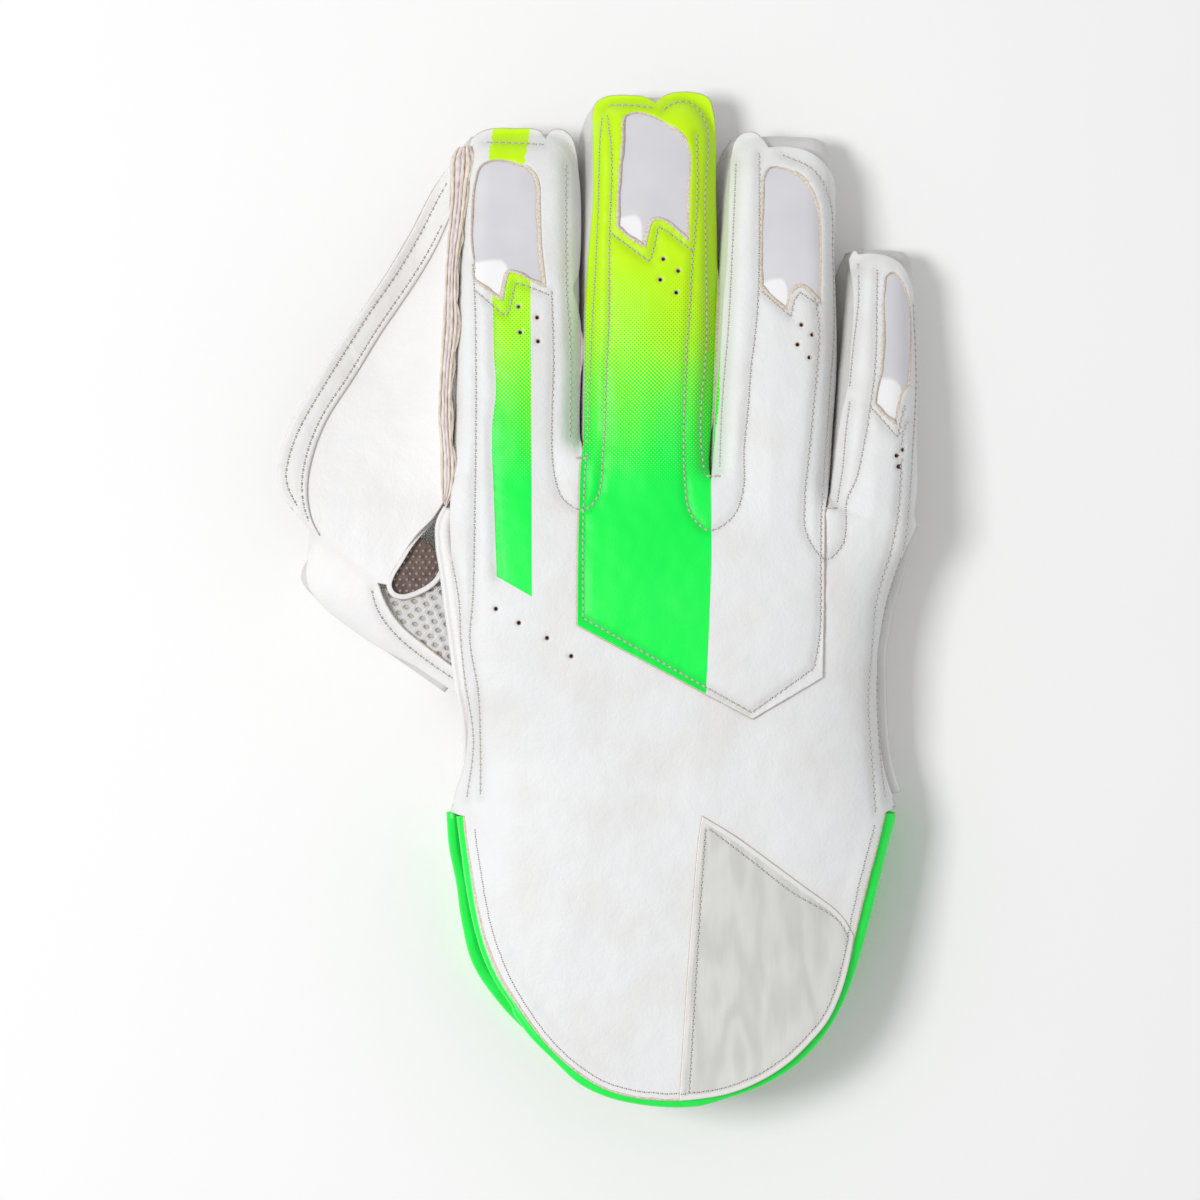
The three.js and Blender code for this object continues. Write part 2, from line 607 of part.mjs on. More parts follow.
function webSeam() {
  const ridges = [
    [0, 0],
    [0.06, 0.9],
    [0.2, 1],
    [0.3, 0.72],
    [0.42, 0.96],
    [0.55, 0.66],
    [0.7, 1],
    [0.92, 0.94],
    [1, 0],
  ];
  const rings = seamStations.map((along, i) => {
    const p = seamLine(along);
    const inner = -clearance - 0.4;
    const width = webSeamWidth * lerp(1.15, 0.8, i / (seamStations.length - 1));
    return ridges.map(([o, h]) => new THREE.Vector3(p.x + inner - o * width, p.y, p.z - 2 + h * webSeamHeight));
  });
  return solidThrough(rings, rings[0].map((p) => new THREE.Vector2(p.x, p.z)));
}

// The space that a sleeve fills, for cutting its neighbours to it.
function sleeveSolid(ring, grow) {
  const rings = sleeveStations.map((along) => ring(along, grow, grow));
  const { half, top, foot } = sleeveAt(thumb, 0.5);
  return solidThrough(rings, sectionRing(half, top, foot, 0, 0).map(([x, z]) => new THREE.Vector2(x, z)));
}

const thumbTip = new THREE.Vector2(
  thumb.rootX + thumbAxis.x * thumb.length,
  thumb.rootY + thumbAxis.y * thumb.length,
);
const stack = thumb.depth + thumbCrown + clearance; // height of the first sheet that lies on the thumb
const netTop = stack + netThickness;
const flapFoot = netTop + clearance;
const webFoot = flapFoot + flapThickness + clearance;

// Rows of the web from index fingertip to thumb. drop is a share of the web's length. hem and side place its outer and
// inner edge as shares of its width, out from the seam. An inner edge of null runs along the seam.
const webRows = [
  { drop: 0, hem: -0.05, side: null },
  { drop: 0.118, hem: 0.103, side: null },
  { drop: 0.259, hem: 0.287, side: null },
  { drop: 0.4, hem: 0.529, side: null },
  { drop: 0.541, hem: 0.765, side: null },
  { drop: 0.682, hem: 0.955, side: null },
  { drop: 0.8, hem: 0.994, side: null },
  { drop: 0.871, hem: 0.87, side: 0.06 },
  { drop: 0.941, hem: 0.684, side: 0.2 },
  { drop: 1, hem: 0.498, side: 0.3 },
];
const webOffset = 2 * clearance + 0.5 + webSeamWidth * 1.2;
const seamPoints = seamStations.map(seamLine);
const webCorner = seamPoints[0];
const webLength = webCorner.y - webEnd;

function besideSeam(y) {
  const found = seamPoints.findIndex((point, i) => i > 0 && point.y < y);
  const i = found < 0 ? seamPoints.length - 1 : found;
  const [above, below] = [seamPoints[i - 1], seamPoints[i]];
  return above.clone().lerp(below, clamp((above.y - y) / (above.y - below.y), 0, 1));
}

function webPoint(row, share, lift) {
  const y = webCorner.y - row.drop * webLength;
  const beside = besideSeam(y);
  const hem = webFootX - row.hem * webWidth;
  const side = row.side === null ? beside.x - webOffset : webFootX - row.side * webWidth;
  const onThumb = clamp(row.drop / 0.87, 0, 1);
  const sag = webSag * 4 * share * (1 - share) * Math.sin(onThumb * Math.PI);
  const outerHeight = lerp(webCorner.z, webFoot, onThumb);
  const innerHeight = row.side === null ? beside.z : webFoot;
  return new THREE.Vector3(lerp(hem, side, share), y, lerp(outerHeight, innerHeight, share) - sag + lift);
}
const hemShare = (row) => Math.min(0.6, hemWidth / webPoint(row, 0, 0).distanceTo(webPoint(row, 1, 0)));
const webShares = (row) => [0, ...span(6, hemShare(row), 1)];
const webGrid = (lift) => webRows.map((row) => webShares(row).map((share) => webPoint(row, share, lift)));
const webHemPath = webRows
  .slice(0, 8)
  .map((row) => [0, hemShare(row)].flatMap((at) => [webPoint(row, at, webThickness), webPoint(row, at, 0)]));

// Net gusset over the thumb's root, and the pimpled flap at its crotch. Both are cut from level sheets.
const gusset = { x: -73.4, y: 72, width: 25, length: 33 }; // upper corner at the hand's edge, and its extent
const netOutline = [
  [gusset.x, gusset.y + 1],
  [gusset.x - gusset.width * 0.55, gusset.y - gusset.length * 0.14],
  [gusset.x - gusset.width * 0.9, gusset.y - gusset.length * 0.2],
  [gusset.x - gusset.width * 0.78, gusset.y - gusset.length * 0.45],
  [gusset.x - gusset.width * 0.45, gusset.y - gusset.length * 0.75],
  [gusset.x + 1.6, gusset.y - gusset.length],
  [gusset.x + 2.2, gusset.y - gusset.length * 0.6],
];

function insideOutline([x, y], outline, margin) {
  const edges = outline.map((p, i) => [p, outline[(i + 1) % outline.length]]);
  const inside = edges.reduce(
    (odd, [[ax, ay], [bx, by]]) => (ay > y !== by > y && x < ((bx - ax) * (y - ay)) / (by - ay) + ax ? !odd : odd),
    false,
  );
  const distance = ([[ax, ay], [bx, by]]) => {
    const t = clamp(((x - ax) * (bx - ax) + (y - ay) * (by - ay)) / ((bx - ax) ** 2 + (by - ay) ** 2), 0, 1);
    return Math.hypot(x - ax - t * (bx - ax), y - ay - t * (by - ay));
  };
  return inside && edges.every((edge) => distance(edge) > margin);
}

function netHoles() {
  const holes = [];
  const rowStep = netPitch * 0.87;
  for (let j = -1; j * rowStep < gusset.length; j++)
    for (let i = -1; i * netPitch < gusset.width; i++) {
      const centre = [gusset.x - i * netPitch - (j % 2 ? netPitch / 2 : 0), gusset.y - j * rowStep];
      if (insideOutline(centre, netOutline, netHoleRadius + 0.7)) holes.push(roundHole(centre, netHoleRadius, 6));
    }
  return holes;
}
const netGusset = cut(prism(netOutline, stack, netTop), ...netHoles());

// Corners of the flap, as shares of its width and length from its upper corner at the hand's edge.
const flapCorner = { x: gusset.x - 0.6, y: webEnd + flapRise };
const flapOutline = [
  { across: 0, along: 0.24 },
  { across: 0.15, along: 0.16 },
  { across: 0.34, along: 0.13 },
  { across: 0.53, along: 0 },
  { across: 0.78, along: 0.29 },
  { across: 0.96, along: 0.65 },
  { across: 1, along: 0.91 },
  { across: 0.78, along: 1 },
  { across: 0.4, along: 0.85 },
  { across: 0, along: 0.56 },
].map(({ across, along }) => [flapCorner.x - across * flapWidth, flapCorner.y - along * flapLength]);
const crotchFlap = prism(flapOutline, flapFoot, flapFoot + flapThickness);

// The thumb's sleeve is trimmed to the hand, and opens into it through a hole of the same bore.
const thumbTube = sleeve(thumbRing);
const thumbBore = sleeveSolid(thumbRing, -sleeveWall);
const netWindow = prism(
  netOutline.map(([x, y]) => [lerp(x, gusset.x - gusset.width * 0.3, 0.25), lerp(y, gusset.y - gusset.length * 0.45, 0.25)]),
  thumb.depth - 2 * sleeveWall,
  sky,
);
const thumbSleeve = cut(thumbTube, handSolid(clearance), netWindow);

// Rubber facing under the palm, from the heel to the finger roots.
const heelRow = 0.06;
const facingSpread = [-palmFlat, 0, palmFlat];
const facingRows = [heelRow, ...handRows.slice(2, -1).map((row) => row.along), 0.985].map((along) => rowAt(handRows, along));
const facingGrid = (drop) =>
  facingRows.map((row) => facingSpread.map((u) => handPoint(row, u, -1, undefined, 0)).map((p) => p.setZ(p.z - drop)));
const palmFacing = slab(facingGrid(clearance), facingGrid(clearance + facingThickness));

// Finishes.
const finish = (color, roughness, metalness = 0) => new THREE.MeshStandardMaterial({ color, roughness, metalness });
const whiteLeather = finish(0xecebe9, 0.55);
const limeLeather = finish(0x9df012, 0.5);
const pearlLeather = finish(0xd9dad4, 0.35);
const greenBinding = finish(0x06f74b, 0.3);
const guardPlastic = finish(0xd6d6dc, 0.25);
const rawEdge = finish(0xcdb9ae, 0.9);
const netFabric = finish(0xdcdbd9, 0.8);
const rubber = finish(0x86736c, 0.75);

const glove = new THREE.Group();

function addPiece(name, geometry, material) {
  const mesh = new THREE.Mesh(geometry, material);
  mesh.name = name;
  glove.add(mesh);
}

for (const [name, finger] of Object.entries(fingers)) {
  const ring = (along, grow, reach) => fingerRing(finger, along, grow, reach);
  addPiece(`${name}_sleeve`, sleeve(ring), whiteLeather);
  addPiece(`${name}_back_panel`, backPanel(name), name === "middle" ? limeLeather : whiteLeather);
  addPiece(`${name}_tip_guard`, tipGuard(name), guardPlastic);
  addPiece(`${name}_facing`, facingUnder(ring, [0.02, 0.22, 0.45, 0.66, 0.8, 0.89]), rubber);
}
addPiece("thumb_sleeve", thumbSleeve, whiteLeather);
addPiece("thumb_facing", facingUnder(thumbRing, [0.3, 0.66, 0.89]), rubber);
addPiece("hand_back", cut(slab(backWall.outer, backWall.inner), ...backVents.map(ventHole)), whiteLeather);
addPiece("hand_palm", cut(slab(palmWall.outer, palmWall.inner), thumbBore), whiteLeather);
addPiece("palm_facing", palmFacing, rubber);
addPiece("thumb_side_welt", sideWelt(-1, thumbWeltWidth, thumbWeltEnd), whiteLeather);
addPiece("little_side_welt", sideWelt(1, littleWeltWidth, littleWeltEnd), whiteLeather);
addPiece("centre_overlay", centreOverlay, limeLeather);
addPiece("cuff_patch", cuffPatch, pearlLeather);
addPiece("back_cuff_binding", tongueBinding(1), greenBinding);
addPiece("palm_cuff_binding", tongueBinding(-1), greenBinding);
addPiece("catch_web", slab(webGrid(webThickness), webGrid(0)), whiteLeather);
addPiece("web_hem", edging(webHemPath, hemCover, hemSlack), whiteLeather);
addPiece("web_seam", cut(webSeam(), sleeveSolid((...at) => fingerRing(fingers.index, ...at), clearance)), rawEdge);
addPiece("net_gusset", netGusset, netFabric);
addPiece("crotch_flap", crotchFlap, rubber);

// The origin is the centre of the footprint, on the floor.
const bounds = new THREE.Box3().setFromObject(glove);
const middle = bounds.getCenter(new THREE.Vector3());
glove.position.set(-middle.x, -middle.y, -bounds.min.z);
glove.updateMatrixWorld(true);

export default glove;
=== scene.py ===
# %% [markdown]
# # Dressing a wicketkeeping glove
# The solids of the glove come in as a fixed frame: hollow finger sleeves, the two walls of the hand, the web, the
# cuff's edging. They are right in size and place, and plain. This lesson lays leather, thread, rubber, net and glossy
# plastic over them, piece by piece, in the same places. Lengths here are millimetres until a mesh is made.

# %% Load the frame
import math
import bpy
import numpy as np
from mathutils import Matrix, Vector, kdtree, noise
from mathutils.bvhtree import BVHTree
from mathutils.geometry import delaunay_2d_cdt


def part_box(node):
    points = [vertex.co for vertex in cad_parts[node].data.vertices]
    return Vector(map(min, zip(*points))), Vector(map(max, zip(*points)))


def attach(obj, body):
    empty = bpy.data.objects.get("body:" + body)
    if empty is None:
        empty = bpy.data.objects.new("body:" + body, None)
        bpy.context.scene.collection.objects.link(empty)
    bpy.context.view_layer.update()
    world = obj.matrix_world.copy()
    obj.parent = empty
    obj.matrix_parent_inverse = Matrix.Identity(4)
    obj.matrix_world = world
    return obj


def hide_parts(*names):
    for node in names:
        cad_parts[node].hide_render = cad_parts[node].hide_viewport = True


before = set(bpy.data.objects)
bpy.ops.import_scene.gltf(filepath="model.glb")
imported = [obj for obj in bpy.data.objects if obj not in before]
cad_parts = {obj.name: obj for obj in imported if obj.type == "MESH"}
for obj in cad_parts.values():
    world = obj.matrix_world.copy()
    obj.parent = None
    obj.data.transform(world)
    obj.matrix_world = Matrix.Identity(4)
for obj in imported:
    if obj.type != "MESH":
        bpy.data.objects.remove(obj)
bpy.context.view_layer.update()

# %% [markdown]
# ## One ruler for everything
# The glove was measured from its wrist: Y 0 is the line where the cuff's two tongues split, X 0 runs up the middle of
# the hand. The frame puts its origin elsewhere, so the shift between the two is read off two solids whose far ends are
# known. Seams and outlines were read off the photograph, so they stay in its pixels here, and one function turns them
# into millimetres on the glove. That keeps each line easy to check against the picture.

# %% Rulers
mm = 0.001
hand_left = 70.85  # half widths of the hand at the finger roots
hand_right = 79.25
palm_tongue = 91
shift = np.array([
    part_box("hand_back")[1].x / mm - hand_right,
    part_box("hand_palm")[0].y / mm + palm_tongue,
    0.0,
])
wrist_pixel = np.array([670.5, 797.0])
view_pixel = np.array([599.5, 600.0])
view_height = 1312
focal_pixels = 4000  # pixels that 1 mm spans at a distance of 1 mm from the camera
back_level = 34  # usual height of the back above the floor
view_middle = (view_pixel - wrist_pixel) * (1, -1) * (view_height - back_level) / focal_pixels


def photo(*points, height=back_level):
    """Points of the photograph, in its pixels, as millimetres on the glove at a height above the floor."""
    return view_middle + (np.array(points, float) - view_pixel) * (1, -1) * (view_height - height) / focal_pixels


print("shift to the frame's origin", shift.round(2))

# %% [markdown]
# ## Smooth tables and smooth lines
# Leather has no corners between the sections that describe it. A table of sections is therefore read with a cubic
# that never overshoots its values, and an outline is a smooth line through few points. An outline with corners is
# several such lines, one after the other.

# %% Curves
def read_table(at, values, where):
    """Reads a table smoothly: a monotone cubic through (at, values)."""
    at, values = np.asarray(at, float), np.asarray(values, float)
    where = np.clip(np.asarray(where, float), at[0], at[-1])
    step = np.diff(at)
    rise = np.diff(values) / step
    slope = np.zeros(len(at))
    same_way = rise[:-1] * rise[1:] > 0
    slope[1:-1][same_way] = 2 * (rise[:-1] * rise[1:])[same_way] / (rise[:-1] + rise[1:])[same_way]
    slope[0], slope[-1] = rise[0], rise[-1]
    i = np.clip(np.searchsorted(at, where, side="right") - 1, 0, len(at) - 2)
    t = (where - at[i]) / step[i]
    return (
        values[i] * (1 + 2 * t) * (1 - t) ** 2
        + values[i + 1] * t * t * (3 - 2 * t)
        + step[i] * (slope[i] * t * (1 - t) ** 2 - slope[i + 1] * t * t * (1 - t))
    )


def even(points, step):
    """The same line with points at an even step."""
    points = np.asarray(points, float)
    walked = np.concatenate([[0], np.cumsum(np.linalg.norm(np.diff(points, axis=0), axis=1))])
    count = max(2, round(walked[-1] / step) + 1)
    at = np.linspace(0, walked[-1], count)
    return np.stack([np.interp(at, walked, points[:, k]) for k in range(points.shape[1])], axis=1)


def line(points, step=1.0):
    """A smooth line through the points, with points at an even step."""
    p = np.asarray(points, float)
    if len(p) == 2:
        return even(p, step)
    t = np.concatenate([[0], np.cumsum(np.linalg.norm(np.diff(p, axis=0), axis=1) ** 0.7)])
    slope = np.gradient(p, t, axis=0)
    fine = []
    for i in range(len(p) - 1):
        s = np.linspace(0, 1, 24, endpoint=False)[:, None]
        h = t[i + 1] - t[i]
        fine.append(
            p[i] * (1 + 2 * s) * (1 - s) ** 2 + p[i + 1] * s * s * (3 - 2 * s)
            + h * (slope[i] * s * (1 - s) ** 2 - slope[i + 1] * s * s * (1 - s))
        )
    return even(np.concatenate([*fine, p[-1:]]), step)


def outline(*runs, step=1.0):
    """A closed outline from smooth runs. Where two runs meet there is a corner."""
    return np.concatenate([line(run, step)[:-1] for run in runs])


def picked(path, rows, step=1.0):
    """A set number of points of a line, from end to end."""
    fine = even(path, step)
    return fine[np.linspace(0, len(fine) - 1, rows).round().astype(int)]


# %% [markdown]
# ## The shape under the leather
# The leather follows the solids, so their section tables are repeated here: the hand from wrist to finger roots, and
# the sleeves from root to tip. Two functions then give the height of the back of the glove at any place in the plan.
# Between the fingers the higher of two neighbours wins, which leaves the valley that a crotch has.

# %% The hand's and the fingers' height
hand_depth = 44
palm_length = 103
underside = 1.7
hide = 1.2  # thickness of the back's leather
arch = 5
flat_share = 0.72  # of the palm's half width
hand_rows = {
    "along": [0, 0.1, 0.2, 0.31, 0.48, 0.64, 0.78, 0.9, 1],
    "left": [0.985, 0.935, 0.92, 0.935, 0.965, 0.99, 1, 0.985, 0.985],
    "right": [0.905, 0.872, 0.854, 0.846, 0.842, 0.865, 0.905, 0.95, 1],
    "top": [0.95, 0.94, 0.95, 0.98, 1, 0.99, 0.96, 0.92, 0.88],
    "seam_left": [0.42, 0.52, 0.67, 0.78, 0.8, 0.8, 0.79, 0.74, 0.68],
    "seam_right": [0.42, 0.42, 0.43, 0.44, 0.45, 0.46, 0.47, 0.48, 0.5],
    "floor": [0, 0, 0, 0, 0.02, 0.05, 0.08, 0.1, 0.114],
    "square": [2.6, 2.6, 2.6, 2.7, 2.8, 3, 3.3, 3.7, 4.2],
}
sleeve_rows = {
    "along": [0, 0.22, 0.45, 0.66, 0.8, 0.89, 0.95, 0.985, 1],
    "width": [1, 1.01, 1.01, 1, 0.985, 0.96, 0.91, 0.83, 0.7],
    "taper": [0, 0.2, 0.5, 0.85, 1, 1, 1, 1, 1],
    "top": [1, 1, 1, 1, 0.97, 0.89, 0.78, 0.66, 0.54],
    "foot": [0, 0, 0, 0, 0, 0, 0.05, 0.15, 0.25],
    "arch": [1, 0.8, 0.4, 0, 0, 0, 0, 0, 0],
}
tongue_rows = {
    "along": [0.06, 0.18, 0.32, 0.46, 0.6, 0.73, 0.85, 0.93, 0.975],
    "palm": [0.995, 0.972, 0.93, 0.88, 0.825, 0.74, 0.6, 0.44, 0.28],
}
fingers = {
    "index": {"base": 40, "tip": 37, "length": 100.5, "depth": 28, "shift": 1.3},
    "middle": {"base": 40.6, "tip": 40.2, "length": 120.5, "depth": 29, "shift": 2.8},
    "ring": {"base": 37.3, "tip": 35.6, "length": 116, "depth": 28, "shift": 4.8},
    "little": {"base": 27.4, "tip": 22, "length": 86, "depth": 26, "shift": 4.6},
}
finger_gap = 0.6
row_left = -69.35


def root_line(x):
    return palm_length - 0.206 * x


def rows_at(rows, along):
    return {key: read_table(rows["along"], rows[key], along) for key in rows}


def hand_height(x, y, side=1):
    """Height of the back (side 1) or the palm (side -1) of the hand and cuff."""
    row = rows_at(hand_rows, np.clip(y / root_line(x), 0, 1))
    half = np.where(x < 0, row["left"] * hand_left, row["right"] * hand_right)
    u = np.clip(np.abs(x) / half, 0, 1)
    seam = np.where(x < 0, row["seam_left"], row["seam_right"]) * hand_depth + side * 1.1
    if side > 0:
        return seam + (row["top"] * hand_depth - seam) * (1 - u ** row["square"]) ** (1 / row["square"])
    low = underside + row["floor"] * hand_depth
    return seam - (seam - low) * np.sqrt(1 - np.clip((u - flat_share) / (1 - flat_share), 0, 1) ** 2)


left = row_left
for finger in fingers.values():
    finger["root_x"] = left + finger["base"] / 2
    finger["root_top"] = float(hand_height(finger["root_x"], root_line(finger["root_x"])))
    finger["tip_y"] = root_line(finger["root_x"]) + finger["length"]
    left += finger["base"] + finger_gap
shoulder = 9  # radius of a finger's upper edges
steep = 2.5  # fall of the leather past them


def sleeve_at(finger, along):
    """Half width, top and foot of a sleeve at places along it."""
    row = rows_at(sleeve_rows, along)
    half = (finger["base"] + (finger["tip"] - finger["base"]) * along) * row["width"] / 2
    root_top = finger.get("root_top", finger["depth"])
    top = (root_top + (finger["depth"] - root_top) * row["taper"]) * row["top"]
    foot = underside + row["foot"] * finger["depth"] + row["arch"] * (arch if "root_top" in finger else 0)
    return half, top, foot


def held_up(height, level=19, reach=3):
    """The leather's edge stands out at its seam. It doesn't hang down over the tip."""
    low = np.clip(level - height, 0, None)
    return height + low - reach * np.tanh(low / reach)


def shoulder_drop(out, rounded):
    """How far the leather falls past a finger's upper edge: a round part, and then a steep one."""
    out = np.clip(out, 0, None)
    round_out = np.clip(out, 0, rounded * shoulder)
    return shoulder - np.sqrt(shoulder**2 - round_out**2) + steep * (out - round_out)


def finger_height(finger, x, y):
    """Height of one finger's back in the plan. It falls away past its edges."""
    root = root_line(x)
    along = np.clip((y - root) / (finger["tip_y"] - root), 0, 1)
    half, top, _ = sleeve_at(finger, along)
    across = np.abs(x - finger["root_x"] - finger["shift"] * along)
    drop = shoulder_drop(across - (half - shoulder), 0.93)
    between = (x > fingers["index"]["root_x"]) & (x < fingers["little"]["root_x"])
    drop = drop * np.where(between, ease((y - root + 2) / 10), 1)  # sewn together at the roots
    return held_up(top + 1.5 * (1 - along) * (1 - np.clip(across / half, 0, 1)) - drop)


def ease(t):
    t = np.clip(t, 0, 1)
    return t * t * (3 - 2 * t)


def back_height(x, y):
    """Height of the glove's back at places in the plan."""
    over_fingers = np.max([finger_height(f, x, y) for f in fingers.values()], axis=0) + hide + 0.1
    return hand_height(x, y) + (over_fingers - hand_height(x, y)) * ease((y - root_line(x) + 17) / 22)


print("finger tips at Y", {name: round(f["tip_y"]) for name, f in fingers.items()})

# %% [markdown]
# ## Materials as arithmetic
# A finish is a small network of nodes. Written node by node it is long and hard to read, so a value in the network
# gets the usual operators: `1 - mask` adds the Math node that does it. One method adds any other node, and colours go
# through Mix nodes.

# %% Shader helpers
class Value:
    """A socket of a finish, with arithmetic."""

    def __init__(self, look, socket):
        self.look = look
        self.socket = socket

    def __add__(self, other):
        return self.look.math("ADD", self, other)

    def __sub__(self, other):
        return self.look.math("SUBTRACT", self, other)

    def __mul__(self, other):
        return self.look.math("MULTIPLY", self, other)

    def __radd__(self, other):
        return self.look.math("ADD", other, self)

    def __rsub__(self, other):
        return self.look.math("SUBTRACT", other, self)

    def __rmul__(self, other):
        return self.look.math("MULTIPLY", other, self)

    def ramp(self, low, high):
        """0 below low and 1 above high."""
        settings = {"interpolation_type": "SMOOTHSTEP"}
        return self.look.node("ShaderNodeMapRange", settings, {0: self, 1: low, 2: high}).value()


class Node:
    """A node of a finish. Its outputs come out as values."""

    def __init__(self, look, node):
        self.look = look
        self.node = node

    def value(self, name=0):
        return Value(self.look, self.node.outputs[name])


class Look:
    """A material under construction."""

    def __init__(self, name):
        self.material = bpy.data.materials.new(name)
        self.material.use_nodes = True
        self.tree = self.material.node_tree
        self.shader = self.tree.nodes["Principled BSDF"]
        place = self.node("ShaderNodeTexCoord").value("Object")
        self.place = self.node("ShaderNodeVectorMath", {"operation": "SCALE"}, {0: place, "Scale": 1000.0}).value()

    def link(self, value, socket):
        if isinstance(value, Value):
            self.tree.links.new(value.socket, socket)
        else:
            socket.default_value = value

    def node(self, kind, settings=None, sockets=None):
        made = self.tree.nodes.new(kind)
        for key, setting in (settings or {}).items():
            setattr(made, key, setting)
        for key, value in (sockets or {}).items():
            self.link(value, made.inputs[key])
        return Node(self, made)

    def math(self, operation, *values):
        return self.node("ShaderNodeMath", {"operation": operation}, dict(enumerate(values))).value()

    def mix(self, share, first, second):
        """One colour turning into another."""
        sockets = {0: share, 6: first, 7: second}
        return self.node("ShaderNodeMix", {"data_type": "RGBA"}, sockets).value(2)

    def noise(self, scale, detail=2.0, stretch=(1, 1, 1)):
        """Soft random value, with scale in waves to the millimetre."""
        where = self.node("ShaderNodeVectorMath", {"operation": "MULTIPLY"}, {0: self.place, 1: stretch}).value()
        return self.node("ShaderNodeTexNoise", {}, {"Vector": where, "Scale": scale, "Detail": detail}).value()

    def cells(self, scale, feature="F1"):
        where = {"Vector": self.place, "Scale": scale}
        return self.node("ShaderNodeTexVoronoi", {"feature": feature}, where).value("Distance")

    def mark(self, name):
        """A number that the mesh carries from point to point."""
        return self.node("ShaderNodeAttribute", {"attribute_name": name}).value("Fac")

    def axis(self, name):
        return self.node("ShaderNodeSeparateXYZ", {}, {0: self.place}).value(name)

    def bump(self, height, strength, depth_mm):
        sockets = {"Height": height, "Strength": strength, "Distance": depth_mm * mm}
        self.link(self.node("ShaderNodeBump", {}, sockets).value(), self.shader.inputs["Normal"])

    def done(self, **sockets):
        for key, value in sockets.items():
            self.link(value, self.shader.inputs[key.replace("_", " ")])
        return self.material


def shade(red, green, blue):
    """A colour as screens give it, 0 to 255, as the shader wants it."""
    screen = np.array([red, green, blue]) / 255
    light = np.where(screen <= 0.04045, screen / 12.92, ((screen + 0.055) / 1.055) ** 2.4)
    return (*light.tolist(), 1.0)


# %% [markdown]
# ## White leather
# The glove is white leather with a fine grain. It isn't one white: it is a little warmer where hands have rubbed it,
# and it is painted greyer along the seams, a painted shade for the hollow that the thread pulls in. The mesh carries
# its distance from the nearest seam as the mark `seam`, from 1 on the thread to 0 a few millimetres off, so the finish
# can follow the sewing. The sleeves' side walls get a greyer copy of the leather: painted shade for the shadow between
# the fingers.

# %% Leather finishes
def leather(name, colour, warm, roughness=0.52, grain=0.35, seam_shade=0.12):
    look = Look(name)
    blotch = look.noise(0.045, 3.0)
    fine = look.noise(0.6, 2.0)
    colour = look.mix(blotch.ramp(0.35, 0.75), colour, warm)
    # Painted shade: greyer along the seams, where the thread pulls the leather into a hollow.
    colour = look.mix(look.mark("seam") * seam_shade, colour, shade(120, 112, 106))
    pores = look.cells(1.1)
    creases = look.cells(0.35, "DISTANCE_TO_EDGE").ramp(0.0, 0.25)
    look.bump(pores * 0.5 + fine * 0.5 + creases * 0.35, grain, 0.25)
    return look.done(
        Base_Color=colour, Roughness=roughness + (blotch - 0.5) * 0.12, Specular_IOR_Level=0.35
    )


white_leather = leather("white_leather", shade(237, 238, 239), shade(233, 232, 231))
web_leather = leather("web_leather", shade(242, 241, 241), shade(240, 237, 236))
# A greyer copy of the white leather for the sleeves' side walls: painted shade for the shadow between the fingers.
shaded_wall_leather = leather("shaded_wall_leather", shade(222, 221, 219), shade(208, 206, 202), 0.6)
palm_leather = leather("palm_leather", shade(232, 229, 226), shade(220, 214, 208), 0.6)


def raw_edge():
    look = Look("raw_edge")
    strands = look.noise(1.4, 3.0, (1, 1, 6))
    colour = look.mix(strands.ramp(0.35, 0.7), shade(222, 212, 202), shade(196, 172, 152))
    look.bump(strands, 0.6, 0.2)
    return look.done(Base_Color=colour, Roughness=0.9)


cut_edge = raw_edge()


def thread_finish():
    look = Look("thread")
    twist = look.noise(2.2, 1.0)
    colour = look.mix(twist, shade(212, 208, 201), shade(184, 179, 171))
    look.bump(twist, 0.4, 0.1)
    return look.done(Base_Color=colour, Roughness=0.7)


def plain_finish(name, colour, dark, roughness, scale=0.8, strength=0.3):
    """A matt finish of two close colours in soft spots."""
    look = Look(name)
    spots = look.noise(scale, 3.0)
    look.bump(spots, strength, 0.15)
    return look.done(Base_Color=look.mix(spots.ramp(0.3, 0.7), colour, dark), Roughness=roughness)


thread = thread_finish()
# Dark discs at the needle holes: painted shade, as the discs lie on the leather with no hole below.
needle_dark = plain_finish("needle_dark", shade(150, 138, 126), shade(116, 100, 88), 0.9)
vent_dark = plain_finish("vent_dark", shade(96, 64, 40), shade(52, 34, 22), 0.9)
lining = plain_finish("lining", shade(214, 210, 204), shade(196, 190, 182), 0.95, 1.6, 0.6)

# %% [markdown]
# ## Printed leather
# The middle finger and a strip of the index finger are printed: yellow at the tips, green towards the hand. Between
# the two the print changes by dots, green ones that grow on yellow until they close, so the finish counts the dots
# from the place on the glove.

# %% The print
print_top = float(photo((600, 250))[0, 1] + shift[1])  # plain yellow above this line
print_foot = float(photo((600, 480))[0, 1] + shift[1])  # plain green below this one
dot_pitch = 1.3
dot_share = 0.5  # how far the dots reach into the change of colour


def print_finish():
    look = Look("printed_leather")
    x, y = look.axis("X"), look.axis("Y")
    down = (print_top - y) * (1 / (print_top - print_foot))
    wave_x = look.math("SINE", x * (2 * math.pi / dot_pitch))
    wave_y = look.math("SINE", y * (2 * math.pi / dot_pitch))
    dots = (down + wave_x * wave_y * dot_share - 0.5).ramp(-0.08, 0.08)
    colour = look.mix(dots, shade(206, 255, 0), shade(0, 254, 82))
    light = look.noise(0.03, 2.0).ramp(0.35, 0.7)
    low = (down - 1.25).ramp(0.0, 0.9)
    colour = look.mix(light * low * 0.6, colour, shade(90, 255, 125))
    # Painted shade: the print is darker along the seams.
    colour = look.mix(look.mark("seam") * 0.18, colour, shade(30, 120, 40))
    look.bump(look.cells(1.1) * 0.5 + look.noise(0.6) * 0.5, 0.25, 0.2)
    return look.done(Base_Color=colour, Roughness=0.42, Specular_IOR_Level=0.35)


printed_leather = print_finish()
